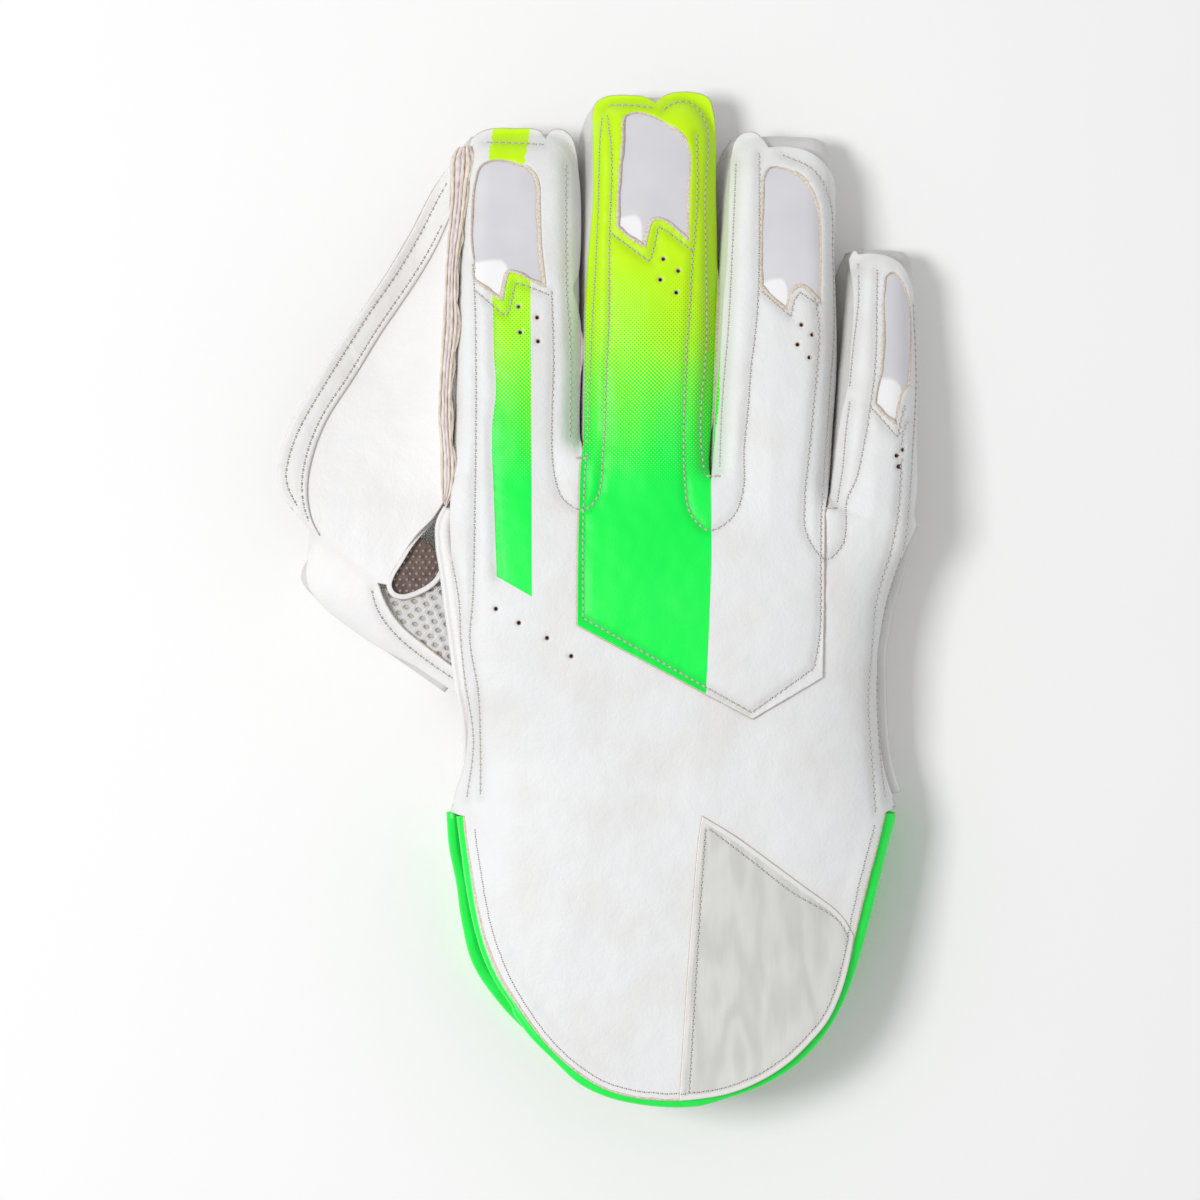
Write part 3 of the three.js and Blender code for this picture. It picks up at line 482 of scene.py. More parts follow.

# %% [markdown]
# ## Making a sheet of leather
# A leather panel is cut flat and then bent over the glove, so it is made here the same way. Its outline in the plan
# is filled with small even triangles, with given lines such as the print's borders among them, and every point is then
# lifted to the height of the glove below. Along its seams the thread pulls the leather down, and between them it
# swells.
# At last the sheet gets its thickness, with a slightly rounded raw edge.

# %% Fill an outline with triangles
def inside(points, ring):
    """Which points lie inside a closed ring, in the plan."""
    ax, ay = ring[:, 0], ring[:, 1]
    bx, by = np.roll(ax, -1), np.roll(ay, -1)
    result = np.zeros(len(points), bool)
    for first in range(0, len(points), 8000):
        x = points[first:first + 8000, :1]
        y = points[first:first + 8000, 1:2]
        crosses = (ay > y) != (by > y)
        with np.errstate(divide="ignore", invalid="ignore"):
            at = (bx - ax) * (y - ay) / (by - ay) + ax
        result[first:first + 8000] = (crosses & (x < at)).sum(axis=1) % 2 == 1
    return result


def finder(points):
    """A search tree for the nearest of some points."""
    tree = kdtree.KDTree(len(points))
    for i, p in enumerate(points):
        tree.insert((p[0], p[1], p[2] if len(p) > 2 else 0), i)
    tree.balance()
    return tree


def distances(points, tree):
    return np.array([tree.find((p[0], p[1], 0))[2] for p in points])


def staggered(ring, pitch):
    """Points over a ring's box, in rows that are half a step apart."""
    low, high = ring.min(axis=0), ring.max(axis=0)
    gx, gy = np.meshgrid(np.arange(low[0], high[0], pitch), np.arange(low[1], high[1], pitch * 0.87))
    gx[1::2] += pitch / 2
    return np.stack([gx.ravel(), gy.ravel()], axis=1)


def fill(ring, holes=(), creases=(), pitch=1.15, rim_rows=(0.35, 0.9)):
    """Triangles inside a ring, round the holes, with the creases as edges."""
    loops = [ring, *holes]
    points = np.concatenate([*loops, *creases])
    edges, first = [], 0
    for loop in loops:
        edges += [(first + i, first + (i + 1) % len(loop)) for i in range(len(loop))]
        first += len(loop)
    for crease in creases:
        edges += [(first + i, first + i + 1) for i in range(len(crease) - 1)]
        first += len(crease)
    rows = []
    for distance in rim_rows:
        ahead, behind = np.roll(ring, -1, axis=0), np.roll(ring, 1, axis=0)
        along = (ahead - behind) / np.linalg.norm(ahead - behind, axis=1)[:, None]
        rows.append(ring + np.stack([-along[:, 1], along[:, 0]], axis=1) * distance)
    grid = staggered(ring, pitch)
    grid = grid[distances(grid, finder(np.concatenate([points, *rows]))) > 0.62 * pitch]
    extra = np.concatenate([*rows, grid])
    extra = extra[inside(extra, ring)]
    extra = extra[distances(extra, finder(points)) > 0.28]
    every = np.concatenate([points, extra])
    made = delaunay_2d_cdt([Vector(p) for p in every], edges, [], 0, 1e-4)
    flat = np.array([tuple(v) for v in made[0]])
    faces = np.array(made[2])
    middles = flat[faces].mean(axis=1)
    keep = inside(middles, ring)
    for hole in holes:
        keep &= ~inside(middles, hole)
    faces = faces[keep]
    used, back = np.unique(faces, return_inverse=True)
    flat, faces = flat[used], back.reshape(-1, 3)
    a, b, c = (flat[faces[:, k]] for k in range(3))
    turned = (b[:, 0] - a[:, 0]) * (c[:, 1] - a[:, 1]) - (b[:, 1] - a[:, 1]) * (c[:, 0] - a[:, 0]) < 0
    faces[turned] = faces[turned][:, ::-1]
    return flat, faces


# %% Give it thickness and make the mesh
def corner_normals(points, faces):
    """Average normals at the points of a mesh of triangles."""
    normals = np.zeros_like(points)
    a, b, c = (points[faces[:, k]] for k in range(3))
    flat = np.cross(b - a, c - a)
    for k in range(3):
        np.add.at(normals, faces[:, k], flat)
    return normals / np.maximum(np.linalg.norm(normals, axis=1), 1e-12)[:, None]


def open_edges(faces):
    """Edges with one face, in the direction of that face."""
    edges = np.concatenate([faces[:, [k, (k + 1) % faces.shape[1]]] for k in range(faces.shape[1])])
    key = np.sort(edges, axis=1)
    order = np.lexsort((key[:, 1], key[:, 0]))
    key, edges = key[order], edges[order]
    same = (key[1:] == key[:-1]).all(axis=1)
    alone = ~np.concatenate([[False], same]) & ~np.concatenate([same, [False]])
    return edges[alone]


def thicken(points, faces, thickness, bulge=0.3):
    """A closed sheet: the given face, one below it and a rounded rim. Also returns how many faces each part has."""
    triangles = faces if faces.shape[1] == 3 else np.concatenate([faces[:, :3], faces[:, [0, 2, 3]]])
    normals = corner_normals(points, triangles)
    rim = open_edges(faces)
    ring = np.unique(rim)
    outward = np.zeros_like(points)
    for a, b in ((0, 1), (1, 0)):
        way = np.cross(points[rim[:, 1]] - points[rim[:, 0]], normals[rim[:, a]])
        np.add.at(outward, rim[:, a], way)
    out = outward[ring] / np.maximum(np.linalg.norm(outward[ring], axis=1), 1e-12)[:, None]
    depth = np.broadcast_to(thickness, len(points))[:, None]
    middle = points[ring] - normals[ring] * depth[ring] / 2 + out * bulge
    below = points - normals * depth
    count = len(points)
    every = np.concatenate([points, below, middle])
    at = {int(r): 2 * count + i for i, r in enumerate(ring)}
    sides = []
    for a, b in rim:
        ma, mb = at[int(a)], at[int(b)]
        sides.append((a, ma, mb, b))
        sides.append((ma, a + count, b + count, mb))
    parts = [faces.tolist(), (faces[:, ::-1] + count).tolist(), [tuple(int(i) for i in s) for s in sides]]
    return every, parts[0] + parts[1] + parts[2], [len(p) for p in parts]


pieces = {}


def build(name, points, faces, finishes, which=None, marks=None):
    """A mesh of the glove from points in millimetres, riding on its one body."""
    mesh = bpy.data.meshes.new(name)
    points = (np.asarray(points, float) + shift) * mm
    mesh.from_pydata(points.tolist(), [], [tuple(f) for f in faces])
    for finish in finishes:
        mesh.materials.append(finish)
    if which is not None:
        mesh.polygons.foreach_set("material_index", np.asarray(which, np.int32))
    for key, values in (marks or {}).items():
        mesh.attributes.new(key, "FLOAT", "POINT").data.foreach_set("value", np.asarray(values, np.float32))
    mesh.polygons.foreach_set("use_smooth", [True] * len(faces))
    mesh.update()
    piece = bpy.data.objects.new(name, mesh)
    bpy.context.scene.collection.objects.link(piece)
    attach(piece, "root")
    pieces[name] = piece
    print(f"{name}: {len(points)} points, {len(faces)} faces")
    return piece


# %% [markdown]
# ## Relief
# Three things shape the surface of a sewn panel: the thread that pulls it in, the padding that swells it between the
# seams, and the soft creases of use. All three are small, so they are worked out in the plan and added to the height.

# %% Relief of a sewn panel
def wrinkles(points, scale, seed):
    """Soft random numbers, between about -1 and 1, at places in the plan."""
    return np.array([noise.noise((p[0] * scale, p[1] * scale, seed)) for p in points])


def relief(flat, seam_tree, swell=0.7, pull=0.45, crease=0.35, seed=0.0):
    """Height to add to a panel, and its seam mark."""
    off = distances(flat, seam_tree)
    height = swell * (1 - np.exp(-off / 5)) - pull * np.exp(-((off / 1.3) ** 2))
    height += crease * wrinkles(flat, 0.06, seed) + 0.35 * crease * wrinkles(flat, 0.21, seed + 7)
    pucker = 0.22 * np.exp(-((off / 3.0) ** 2)) * wrinkles(flat, 0.45, seed + 3)
    return height + pucker, np.exp(-((off / 1.7) ** 2))


def panel(name, ring, seams, holes=(), creases=(), print_areas=(), height=back_height, **how):
    """A leather panel on the back of the glove: white, with printed areas and raw edges."""
    flat, faces = fill(ring, holes, creases)
    tree = finder(np.concatenate(seams))
    rise, seam = relief(flat, tree, **how)
    points = np.column_stack([flat, height(flat[:, 0], flat[:, 1]) + rise])
    middles = flat[faces].mean(axis=1)
    printed = np.zeros(len(faces), int)
    for area in print_areas:
        printed |= inside(middles, area)
    every, all_faces, counts = thicken(points, faces, hide)
    which = np.concatenate([printed, np.full(counts[1], 2), np.full(counts[2], 3)])
    mark = np.zeros(len(every))
    mark[:len(seam)] = seam
    finishes = [white_leather, printed_leather, lining, cut_edge]
    return build(name, every, all_faces, finishes, which, {"seam": mark})


# %% [markdown]
# ## Where the seams run
# Every line of thread on the back was traced in the photograph. They come first, because they also shape the leather.

# %% Seams of the back
seams = {
    "index_left": photo(
        (472, 262), (474, 290), (476, 400), (475, 500), (473, 600), (470, 640), (478, 690), (480, 750),
        (480, 797),
    ),
    "index_outer": photo((565, 160), (566, 290), (570, 350), (570, 440)),
    "index_inner": photo(
        (551, 290), (553, 350), (555, 480), (563, 500), (583, 511), (596, 500), (603, 450), (606, 370),
        (608, 330), (609, 240), (611, 150), (607, 112),
    ),
    "index_tip": photo((483, 138), (510, 139), (545, 141)),
    "index_strip_left": photo((490, 295), (492, 300), (494, 360), (496, 390), (491, 430), (494, 500), (497, 577)),
    "middle_left": photo(
        (603, 105), (600, 130), (598, 200), (595, 270), (592, 320), (590, 370), (587, 440), (585, 470),
        (583, 520), (583, 618),
    ),
    "middle_left_foot": photo((583, 618), (705, 687), (750, 712)),
    "middle_right_foot": photo((750, 712), (812, 668)),
    "ring_right": photo(
        (812, 668), (817, 640), (819, 560), (820, 505), (822, 490), (826, 440), (830, 390), (835, 330),
        (834, 250), (832, 200), (815, 168), (785, 152),
    ),
    "middle_top": photo((607, 100), (630, 101), (655, 104)),
    "middle_top_right": photo(
        (662, 107), (675, 98), (690, 97), (705, 115), (705, 200), (706, 340), (704, 370), (701, 400),
        (700, 440), (703, 470),
    ),
    "middle_inner": photo(
        (697, 130), (697, 200), (692, 260), (689, 310), (686, 350), (684, 400), (683, 440), (684, 480),
        (690, 515), (708, 531), (732, 517), (742, 490), (743, 450), (747, 410), (750, 370), (755, 330),
        (758, 290), (760, 150),
    ),
    "ring_left": photo((737, 158), (735, 200), (732, 260), (728, 330), (722, 400), (719, 470)),
    "ring_inner": photo(
        (812, 290), (818, 320), (816, 370), (813, 400), (810, 430), (807, 460), (803, 500), (805, 535),
        (825, 560), (841, 545), (846, 500), (855, 480), (862, 450), (866, 430), (870, 405), (875, 370),
        (878, 300), (879, 268),
    ),
    "little_ridge": photo((861, 258), (860, 300), (855, 340), (850, 385)),
    "little_left": photo((850, 400), (846, 430), (842, 470), (836, 505)),
    "little_right": photo(
        (908, 420), (903, 430), (900, 470), (897, 510), (890, 550), (876, 600), (872, 650), (868, 700),
        (872, 760), (875, 812),
    ),
    "little_outer": photo(
        (916, 300), (918, 380), (913, 450), (911, 480), (908, 510), (903, 550), (888, 600), (880, 650),
        (878, 700), (882, 760), (886, 800),
    ),
    "hand_left": photo((452, 560), (459, 600), (461, 640), (465, 680), (473, 740), (466, 800)),
}
window_seams = {
    "index": photo((474, 290), (503, 316), (508, 315), (515, 283), (528, 287), (551, 296)),
    "middle": photo((609, 232), (649, 262), (653, 250), (658, 226), (668, 232), (692, 251)),
    "ring": photo((760, 290), (790, 317), (794, 300), (800, 292), (818, 305)),
    "little": photo((868, 405), (897, 438), (900, 420), (906, 403)),
}
sewn = {name: line(points) for name, points in seams.items()}
for name, points in window_seams.items():
    sewn[f"{name}_window"] = even(points, 1.0)
print("thread on the back:", round(sum(len(s) for s in sewn.values()) * mm, 2), "m")

# %% [markdown]
# ## Windows and vents
# Each fingertip has a window cut through its leather, with a stepped lower edge, and a few punched vents below it. The
# hand has four more. A window's outline is a few smooth runs between its corners.

# %% Window outlines
window_runs = {
    "index": (
        photo(
            (474, 268), (470, 240), (470, 215), (473, 180), (479, 163), (492, 157), (515, 160), (530, 167),
            (537, 178), (539, 205), (540, 240), (545, 287),
        ),
        photo((545, 287), (530, 280), (517, 273), (509, 272), (505, 283), (502, 301)),
        photo((502, 301), (490, 292), (474, 278), (472, 268)),
    ),
    "middle": (
        photo(
            (617, 226), (618, 190), (622, 140), (625, 112), (636, 108), (650, 111), (668, 121), (684, 134),
            (690, 148), (690, 190), (689, 241),
        ),
        photo((689, 241), (675, 228), (662, 219), (653, 220), (648, 232), (645, 247)),
        photo((645, 247), (630, 238), (617, 226)),
    ),
    "ring": (
        photo(
            (761, 286), (761, 250), (763, 200), (765, 172), (771, 164), (785, 165), (800, 172), (813, 186),
            (820, 204), (822, 250), (821, 303),
        ),
        photo((821, 303), (810, 291), (800, 286), (793, 290), (787, 310)),
        photo((787, 310), (775, 301), (761, 286)),
    ),
    "little": (
        photo(
            (874, 404), (876, 392), (881, 370), (884, 330), (885, 290), (888, 273), (896, 269), (905, 279),
            (912, 300), (914, 340), (911, 385),
        ),
        photo((911, 385), (904, 392), (900, 405), (896, 424)),
        photo((896, 424), (885, 416), (874, 404)),
    ),
}
windows = {name: outline(*runs, step=0.8) for name, runs in window_runs.items()}
vent_radius = 0.85
vents = photo(
    (518, 307), (537, 318), (520, 333), (538, 342), (663, 259), (678, 271), (660, 280), (676, 293), (801, 325),
    (812, 335), (797, 345), (809, 358), (903, 450), (896, 456), (898, 467), (496, 609), (519, 623), (547, 638),
    (571, 656),
)


def circle(centre, radius, count=10):
    """Points of a circle in the plan."""
    turn = np.arange(count) * 2 * math.pi / count
    return centre + radius * np.stack([np.cos(turn), np.sin(turn)], axis=1)


def anticlockwise(ring):
    x, y = ring[:, 0], ring[:, 1]
    return ring if (x * np.roll(y, -1) - y * np.roll(x, -1)).sum() > 0 else ring[::-1]


# %% [markdown]
# ## The back's leather
# One hide covers the back of the hand, the cuff's upper tongue, the index finger and the little finger. It runs on
# under the middle panel, where nobody sees it end. Its edge beside the thumb and the little finger is the seam to the
# palm, so there it comes from the hand's own width.

# %% Where a ray meets the hand
def hand_side(sign, inset=0.25, rows=14):
    """The hand's edge from wrist to finger roots, in the plan."""
    along = np.linspace(0, 1, rows)
    row = rows_at(hand_rows, along)
    half = row["left"] * hand_left if sign < 0 else row["right"] * hand_right
    x = sign * (half - inset)
    return np.column_stack([x, along * root_line(x)])


def photo_on_hand(*points):
    """Points of the photograph, put where their rays meet the back of the hand."""
    spots = photo(*points)
    for _ in range(4):
        heights = hand_height(spots[:, 0], spots[:, 1])
        spots = np.concatenate([photo(p, height=float(h)) for p, h in zip(points, heights)])
    return spots


left_side = hand_side(-1)
right_side = hand_side(1)

# %% Outline of the back
cuff_edge = photo_on_hand(
    (464, 816), (467, 842), (470, 862), (478, 910), (487, 945), (501, 979), (517, 1005), (543, 1040), (569, 1066),
    (599, 1086), (625, 1095), (668, 1100), (700, 1098), (731, 1092), (762, 1079), (788, 1062), (807, 1044),
    (827, 1020), (840, 992), (848, 964), (854, 936), (860, 910), (868, 877), (877, 843), (884, 813),
)
index_side = photo(
    (583, 457), (580, 440), (580, 320), (576, 300), (573, 288), (578, 272), (580, 250), (580, 190), (577, 158),
)
tip_level = 21  # the fingertips' backs bend down to about this height
index_tip = photo((577, 158), (571, 137), (561, 129), (551, 130), (545, 139), height=tip_level)
index_rest = np.concatenate([
    photo((545, 139), (540, 131), (512, 128), (484, 130), (471, 139), height=tip_level),
    photo((467, 156), (463, 200), (460, 250), (457, 300), (455, 400), (454, 424)),
])
little_side = photo(
    (914, 515), (918, 490), (918, 430), (920, 370), (918, 330), (915, 285), (905, 262), (890, 252), (870, 249),
    (861, 250), (858, 246), (852, 255),
)
little_rest = photo((852, 255), (855, 300), (851, 350), (848, 385), (840, 420), (833, 470), (828, 505))
under_panel = photo((828, 505), (815, 530), (760, 520), (700, 500), (640, 480), (583, 457))
wrist_left = photo_on_hand((451, 812), (464, 816))
wrist_right = photo_on_hand((884, 813), (895, 806))
back_ring = outline(
    index_side, [index_side[-1], index_tip[0]], index_tip, index_rest, [index_rest[-1], left_side[-1]],
    left_side[::-1], [left_side[0], wrist_left[0]], wrist_left, cuff_edge, wrist_right,
    [wrist_right[-1], right_side[0]], right_side, [right_side[-1], little_side[0]],
    little_side, little_rest, under_panel,
)
cuff_finder = finder(line(cuff_edge))
strip_left = photo((489, 268), (492, 300), (494, 360), (496, 390), (492, 430), (494, 500), (497, 577))
strip_right = photo((532, 597), (531, 400), (530, 268))
index_strip = outline(strip_left, [strip_left[-1], strip_right[0]], strip_right, [strip_right[-1], strip_left[0]])
cap_print = photo((493, 110), (489, 140), (487, 164), (523, 164), (527, 140), (530, 110))


def vent_holes(ring):
    return [circle(v, vent_radius)[::-1] for v in vents if inside(v[None], ring)[0]]


def within(ring, lines):
    """The stretches of some lines that lie well inside a ring."""
    kept = []
    tree = finder(ring)
    for path in lines:
        good = inside(path, ring) & (distances(path, tree) > 0.5)
        runs = np.split(np.arange(len(path)), np.flatnonzero(np.diff(good.astype(int))) + 1)
        kept += [path[run] for run in runs if good[run[0]] and len(run) > 2]
    return kept


# %% Cut and bend the back's leather
def on_the_edging(x, y):
    """The back's height, raised near the cuff's edge, where the leather lies on the green edging."""
    off = distances(np.column_stack([x, y]), cuff_finder)
    return back_height(x, y) + 0.7 * ease((8 - off) / 6)


back_leather = panel(
    "back_leather", back_ring, list(sewn.values()),
    holes=[windows["index"], windows["little"], *vent_holes(back_ring)],
    creases=within(back_ring, [line(strip_left), line(strip_right), even([strip_left[-1], strip_right[0]], 1.0)]),
    print_areas=[index_strip, cap_print], height=on_the_edging, crease=0.5,
)
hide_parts("hand_back", "index_back_panel", "little_back_panel")

# %% [markdown]
# ## The middle panel
# A second hide lies over the first: the backs of the middle and ring fingers, which run on over the hand as one piece
# and end in a V. Its left part is printed, the ring finger's is white.

# %% Outline of the middle panel
middle_foot = photo((577, 625), (578, 540), (580, 470))
middle_side = photo((580, 470), (583, 440), (584, 400), (585, 300), (588, 250), (592, 205), (592, 116))
middle_tip = photo((592, 116), (596, 102), (606, 96), (630, 95), (647, 97), (655, 103), height=tip_level)
middle_rest = np.concatenate([
    photo((655, 103), (661, 97), (675, 92), (695, 92), (708, 97), (713, 112), height=tip_level),
    photo((717, 200), (718, 270), (716, 330), (713, 400), (709, 470), (709.5, 479)),
])
ring_side = photo((710.5, 479), (712, 460), (716, 400), (720, 350), (723, 300), (727, 260), (729, 200), (731, 156))
ring_tip = photo((731, 156), (735, 141), (743, 133), (754, 132), (762, 138), (768, 148), height=tip_level)
ring_rest = np.concatenate([
    photo((768, 148), (785, 147), (805, 151), (823, 163), (834, 180), height=tip_level),
    photo((838, 200), (836, 245), (838, 310), (838, 370), (834, 420), (828, 490), (823, 512)),
])
middle_end = photo((823, 512), (822, 600), (821, 677))
middle_ring = outline(
    ring_side, [ring_side[-1], ring_tip[0]], ring_tip, ring_rest, middle_end,
    photo((821, 677), (751, 718)), photo((751, 718), (577, 625)), middle_foot,
    middle_side, [middle_side[-1], middle_tip[0]], middle_tip, middle_rest, [middle_rest[-1], ring_side[0]],
)[::-1]
print_border = photo((710, 484), (710, 560), (708, 620), (705, 686))
middle_print = np.concatenate([
    photo((550, 60), (722, 60), (722, 270), (719, 400), (710, 475)),
    line(print_border),
    photo((705, 740), (550, 740)),
])


def middle_height(x, y):
    """The middle panel lies on the first one over the hand, and on the sleeves at the fingers."""
    return back_height(x, y) + (hide + 0.05) * ease((root_line(x) - y + 6) / 14)


middle_leather = panel(
    "middle_leather", middle_ring, list(sewn.values()),
    holes=[windows["middle"], windows["ring"], *vent_holes(middle_ring)],
    creases=within(middle_ring, [line(print_border)]), print_areas=[middle_print],
    height=middle_height, seed=2.0, crease=0.45,
)
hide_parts("centre_overlay", "middle_back_panel", "ring_back_panel")

# %% [markdown]
# ## Finger sleeves
# Under its back each finger is a soft box of leather, open at the hand and blunt at the tip. Its section is a rounded
# rectangle whose corners and height come from the same table as the solid's, read smoothly in many steps. The palm
# side leans towards the thumb, as the fingers of a resting hand do. Inside there is a thin knitted lining.

# %% Sleeves
def section(half, top, foot, crown, grow, count=64):
    """A rounded box with a crowned top, from the lower left corner round over the top."""
    w, t, f = half + grow, top + grow, foot - grow
    r = min(shoulder + grow, w * 0.9, (t - f) * 0.5)
    q = min(6 + grow, w * 0.9, (t - f) * 0.48)

    def arc(cx, cz, radius, start, stop):
        turn = np.radians(np.linspace(start, stop, 9))
        return np.stack([cx + radius * np.cos(turn), cz + radius * np.sin(turn)], axis=1)

    flat = np.linspace(-1, 1, 9)[1:-1]
    crowned = np.stack([flat * (w - r), t + crown * (1 - flat**2)], axis=1)
    ring = np.concatenate([
        arc(-w + q, f + q, q, 270, 180), arc(-w + r, t - r, r, 180, 90), crowned,
        arc(w - r, t - r, r, 90, 0), arc(w - q, f + q, q, 0, -90), [[-w + q, f]],
    ])
    fine = even(ring, 0.1)
    return fine[:-1][np.linspace(0, len(fine) - 1, count, endpoint=False).astype(int)]


def finger_ring(finger, along, grow, reach=0.0):
    """The loop of a finger's sleeve at a place along it."""
    half, top, foot = (float(v) for v in sleeve_at(finger, along))
    flat = section(half, top, foot, 1.5 * (1 - along), grow)
    widest = top - min(shoulder, (top - foot) / 2)
    lean = 6 * min(along / 0.35, 1) * np.clip((widest - flat[:, 1]) / (widest - foot), 0, 1)
    centre = finger["root_x"] + finger["shift"] * along
    root = root_line(centre + flat[:, 0]) + 0.3
    y = root + (finger["tip_y"] + reach - root) * along
    return np.column_stack([centre + flat[:, 0] - lean, y, flat[:, 1]])


thumb = {"base": 35, "tip": 33, "length": 62, "depth": 30, "root": np.array([-61.8, 46.8])}
thumb_heading = math.radians(145.5)
thumb_way = np.array([math.cos(thumb_heading), math.sin(thumb_heading)])
thumb_across = np.array([thumb_way[1], -thumb_way[0]])


def thumb_ring(finger, along, grow, reach=0.0):
    """The loop of the thumb's sleeve."""
    half, top, foot = (float(v) for v in sleeve_at(finger, along))
    flat = section(half, top, foot, 1 - along, grow)
    plan = finger["root"] + thumb_way * along * (finger["length"] + reach) + flat[:, :1] * thumb_across
    return np.column_stack([plan, flat[:, 1]])


def tube_faces(rows, count, first=0, flip=False):
    """Faces between a stack of loops."""
    faces = []
    for r in range(rows - 1):
        for i in range(count):
            a, b = first + r * count + i, first + r * count + (i + 1) % count
            face = (a, b, b + count, a + count)
            faces.append(face[::-1] if flip else face)
    return faces


def drawn_in(loop, along):
    """The lower corners of a sleeve are drawn in at its root, where it runs into the palm."""
    off = loop - loop.mean(axis=0)
    reach = np.hypot(off[:, 0], off[:, 1])
    corner = np.clip(-off[:, 2] / 8, 0, 1) * ease((reach / reach.max() - 0.75) / 0.25)
    corner *= 1 - ease(along / 0.14)
    loop[:, :2] -= off[:, :2] * 0.16 * corner[:, None]
    loop[:, 2] += 5 * corner
    return loop


wall = 1.8
sleeve_rings = 46
tip_cap = ((0.86, 0.4), (0.62, 0.7), (0.32, 0.9), (0.08, 1.0))  # share of the last ring, and how far it stands out


def sleeve(name, finger, ring, node, start=0.0):
    """A hollow sleeve with a rounded tip and a lining."""
    walk = start + (1 - start) * (1 - (1 - np.linspace(0, 1, sleeve_rings)) ** 1.5)
    outer = [drawn_in(ring(finger, a, 0.0), a) for a in walk]
    for a, loop in zip(walk, outer):  # the back's leather lies on the tip, so the sleeve is lower there
        high = (loop[:, 2] - loop[:, 2].min()) / np.ptp(loop[:, 2])
        loop[:, 2] -= 0.9 * ease((a - 0.7) / 0.25) * high
    last, middle = outer[-1], outer[-1].mean(axis=0)
    way = middle - outer[-2].mean(axis=0)
    way /= np.linalg.norm(way)
    outer += [middle + (last - middle) * share + way * bulge for share, bulge in tip_cap]
    inner = [drawn_in(ring(finger, a, -wall, -2.2), a) for a in walk]
    count = len(outer[0])
    points = np.concatenate(outer + inner)
    out_rows, in_rows = len(outer), len(inner)
    faces = tube_faces(out_rows, count)
    faces.append(tuple((out_rows - 1) * count + i for i in range(count)))
    soft = len(faces)
    first = out_rows * count
    faces += tube_faces(in_rows, count, first, True)
    faces.append(tuple(first + (in_rows - 1) * count + i for i in reversed(range(count))))
    for i in range(count):
        j = (i + 1) % count
        faces.append((j, i, first + i, first + j))
    folds = np.array([noise.noise(p * 0.05) + 0.4 * noise.noise(p * 0.17) for p in map(Vector, points)])
    points[:first] += folds[:first, None] * (0.35, 0, 0.3)
    which = [0] * soft + [1] * (len(faces) - soft)
    piece = build(name, points, faces, [shaded_wall_leather, lining], which)
    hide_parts(node)


for name, finger in fingers.items():
    sleeve(f"{name}_walls", finger, finger_ring, f"{name}_sleeve")
sleeve("thumb_walls", thumb, thumb_ring, "thumb_sleeve", start=0.02)

# %% [markdown]
# ## Fingertip guards
# The hard guards are moulded plastic, glossy and faintly lilac. Each bulges a little in its window and breaks towards
# its lower end. Below that break the colour is painted near-white in one patch, a painted highlight for the lamp's
# reflection. The guard is wider than the window, as the real one is held by its hidden edge.

# %% Guards
def guard_finish():
    look = Look("guard_plastic")
    haze = look.noise(0.05, 2.0).ramp(0.3, 0.7)
    look.bump(look.noise(0.25, 2.0), 0.08, 0.2)
    colour = look.mix(haze, shade(224, 223, 228), shade(216, 215, 221))
    # Painted highlight: near-white below the break, standing in for the lamp's reflection on the guard.
    colour = look.mix(look.mark("painted_highlight").ramp(0.3, 0.6), colour, shade(250, 250, 252))
    return look.done(Base_Color=colour, Roughness=0.16, Coat_Weight=0.6, Coat_Roughness=0.06)


guard_plastic = guard_finish()
# Where each guard breaks, as a share of the window's height; its painted highlight reaches up to there.
break_and_highlight_top = {"index": 0.25, "middle": 0.2, "ring": 0.18, "little": 0.26}  # share of the window's height
# How far across each window the painted highlight reaches, from the left.
painted_highlight_side = {"index": 0.5, "middle": 0.32, "ring": 0.42, "little": 0.7}  # share of its width, from the left
for name, ring in windows.items():
    away = np.roll(ring, -1, axis=0) - np.roll(ring, 1, axis=0)
    away /= np.linalg.norm(away, axis=1)[:, None]
    turn = 1 if (anticlockwise(ring) is ring) else -1
    wide = anticlockwise(ring + turn * np.stack([away[:, 1], -away[:, 0]], axis=1) * 0.6)
    flat, faces = fill(wide, pitch=1.4, rim_rows=())
    low, high = ring.min(axis=0), ring.max(axis=0)
    up = (flat[:, 1] - low[1]) / (high[1] - low[1])
    side = (flat[:, 0] - low[0]) / (high[0] - low[0])
    break_line = break_and_highlight_top[name] + 0.03 * np.sin(side * 5)
    bend = 0.5 * np.clip((break_line - up) / break_line, 0, 1)
    dome = 0.3 * (1 - (2 * side - 1) ** 2)
    z = back_height(flat[:, 0], flat[:, 1]) - 0.7 - bend + dome
    every, all_faces, counts = thicken(np.column_stack([flat, z]), faces, 0.8)
    painted_highlight = np.zeros(len(every))
    # Mask of the painted highlight: below the break line and left of a share of the window's width.
    painted_highlight[:len(flat)] = np.clip((break_line - up) * 8 + 0.5, 0, 1) * np.clip((painted_highlight_side[name] - side) * 6 + 0.5, 0, 1)
    guard = build(f"{name}_guard", every, all_faces, [guard_plastic], None, {"painted_highlight": painted_highlight})
    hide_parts(f"{name}_tip_guard")

# %% [markdown]
# ## Strips swept along a line
# Hems, edgings, welts and raw seams are each one section carried along a line. One helper finds the directions along
# the line, and another closes the stack of sections into a solid. That is quicker to shape than a curve object's
# bevel, because the section may change on its way.

# %% Sweep a section
def unit(vectors):
    return vectors / np.maximum(np.linalg.norm(vectors, axis=-1, keepdims=True), 1e-12)


def sides_of(path):
    """Directions to the left of a path in the plan, and up."""
    ahead = unit(np.gradient(path, axis=0))
    left = unit(np.column_stack([-ahead[:, 1], ahead[:, 0], np.zeros(len(path))]))
    return left, unit(np.cross(ahead, left))


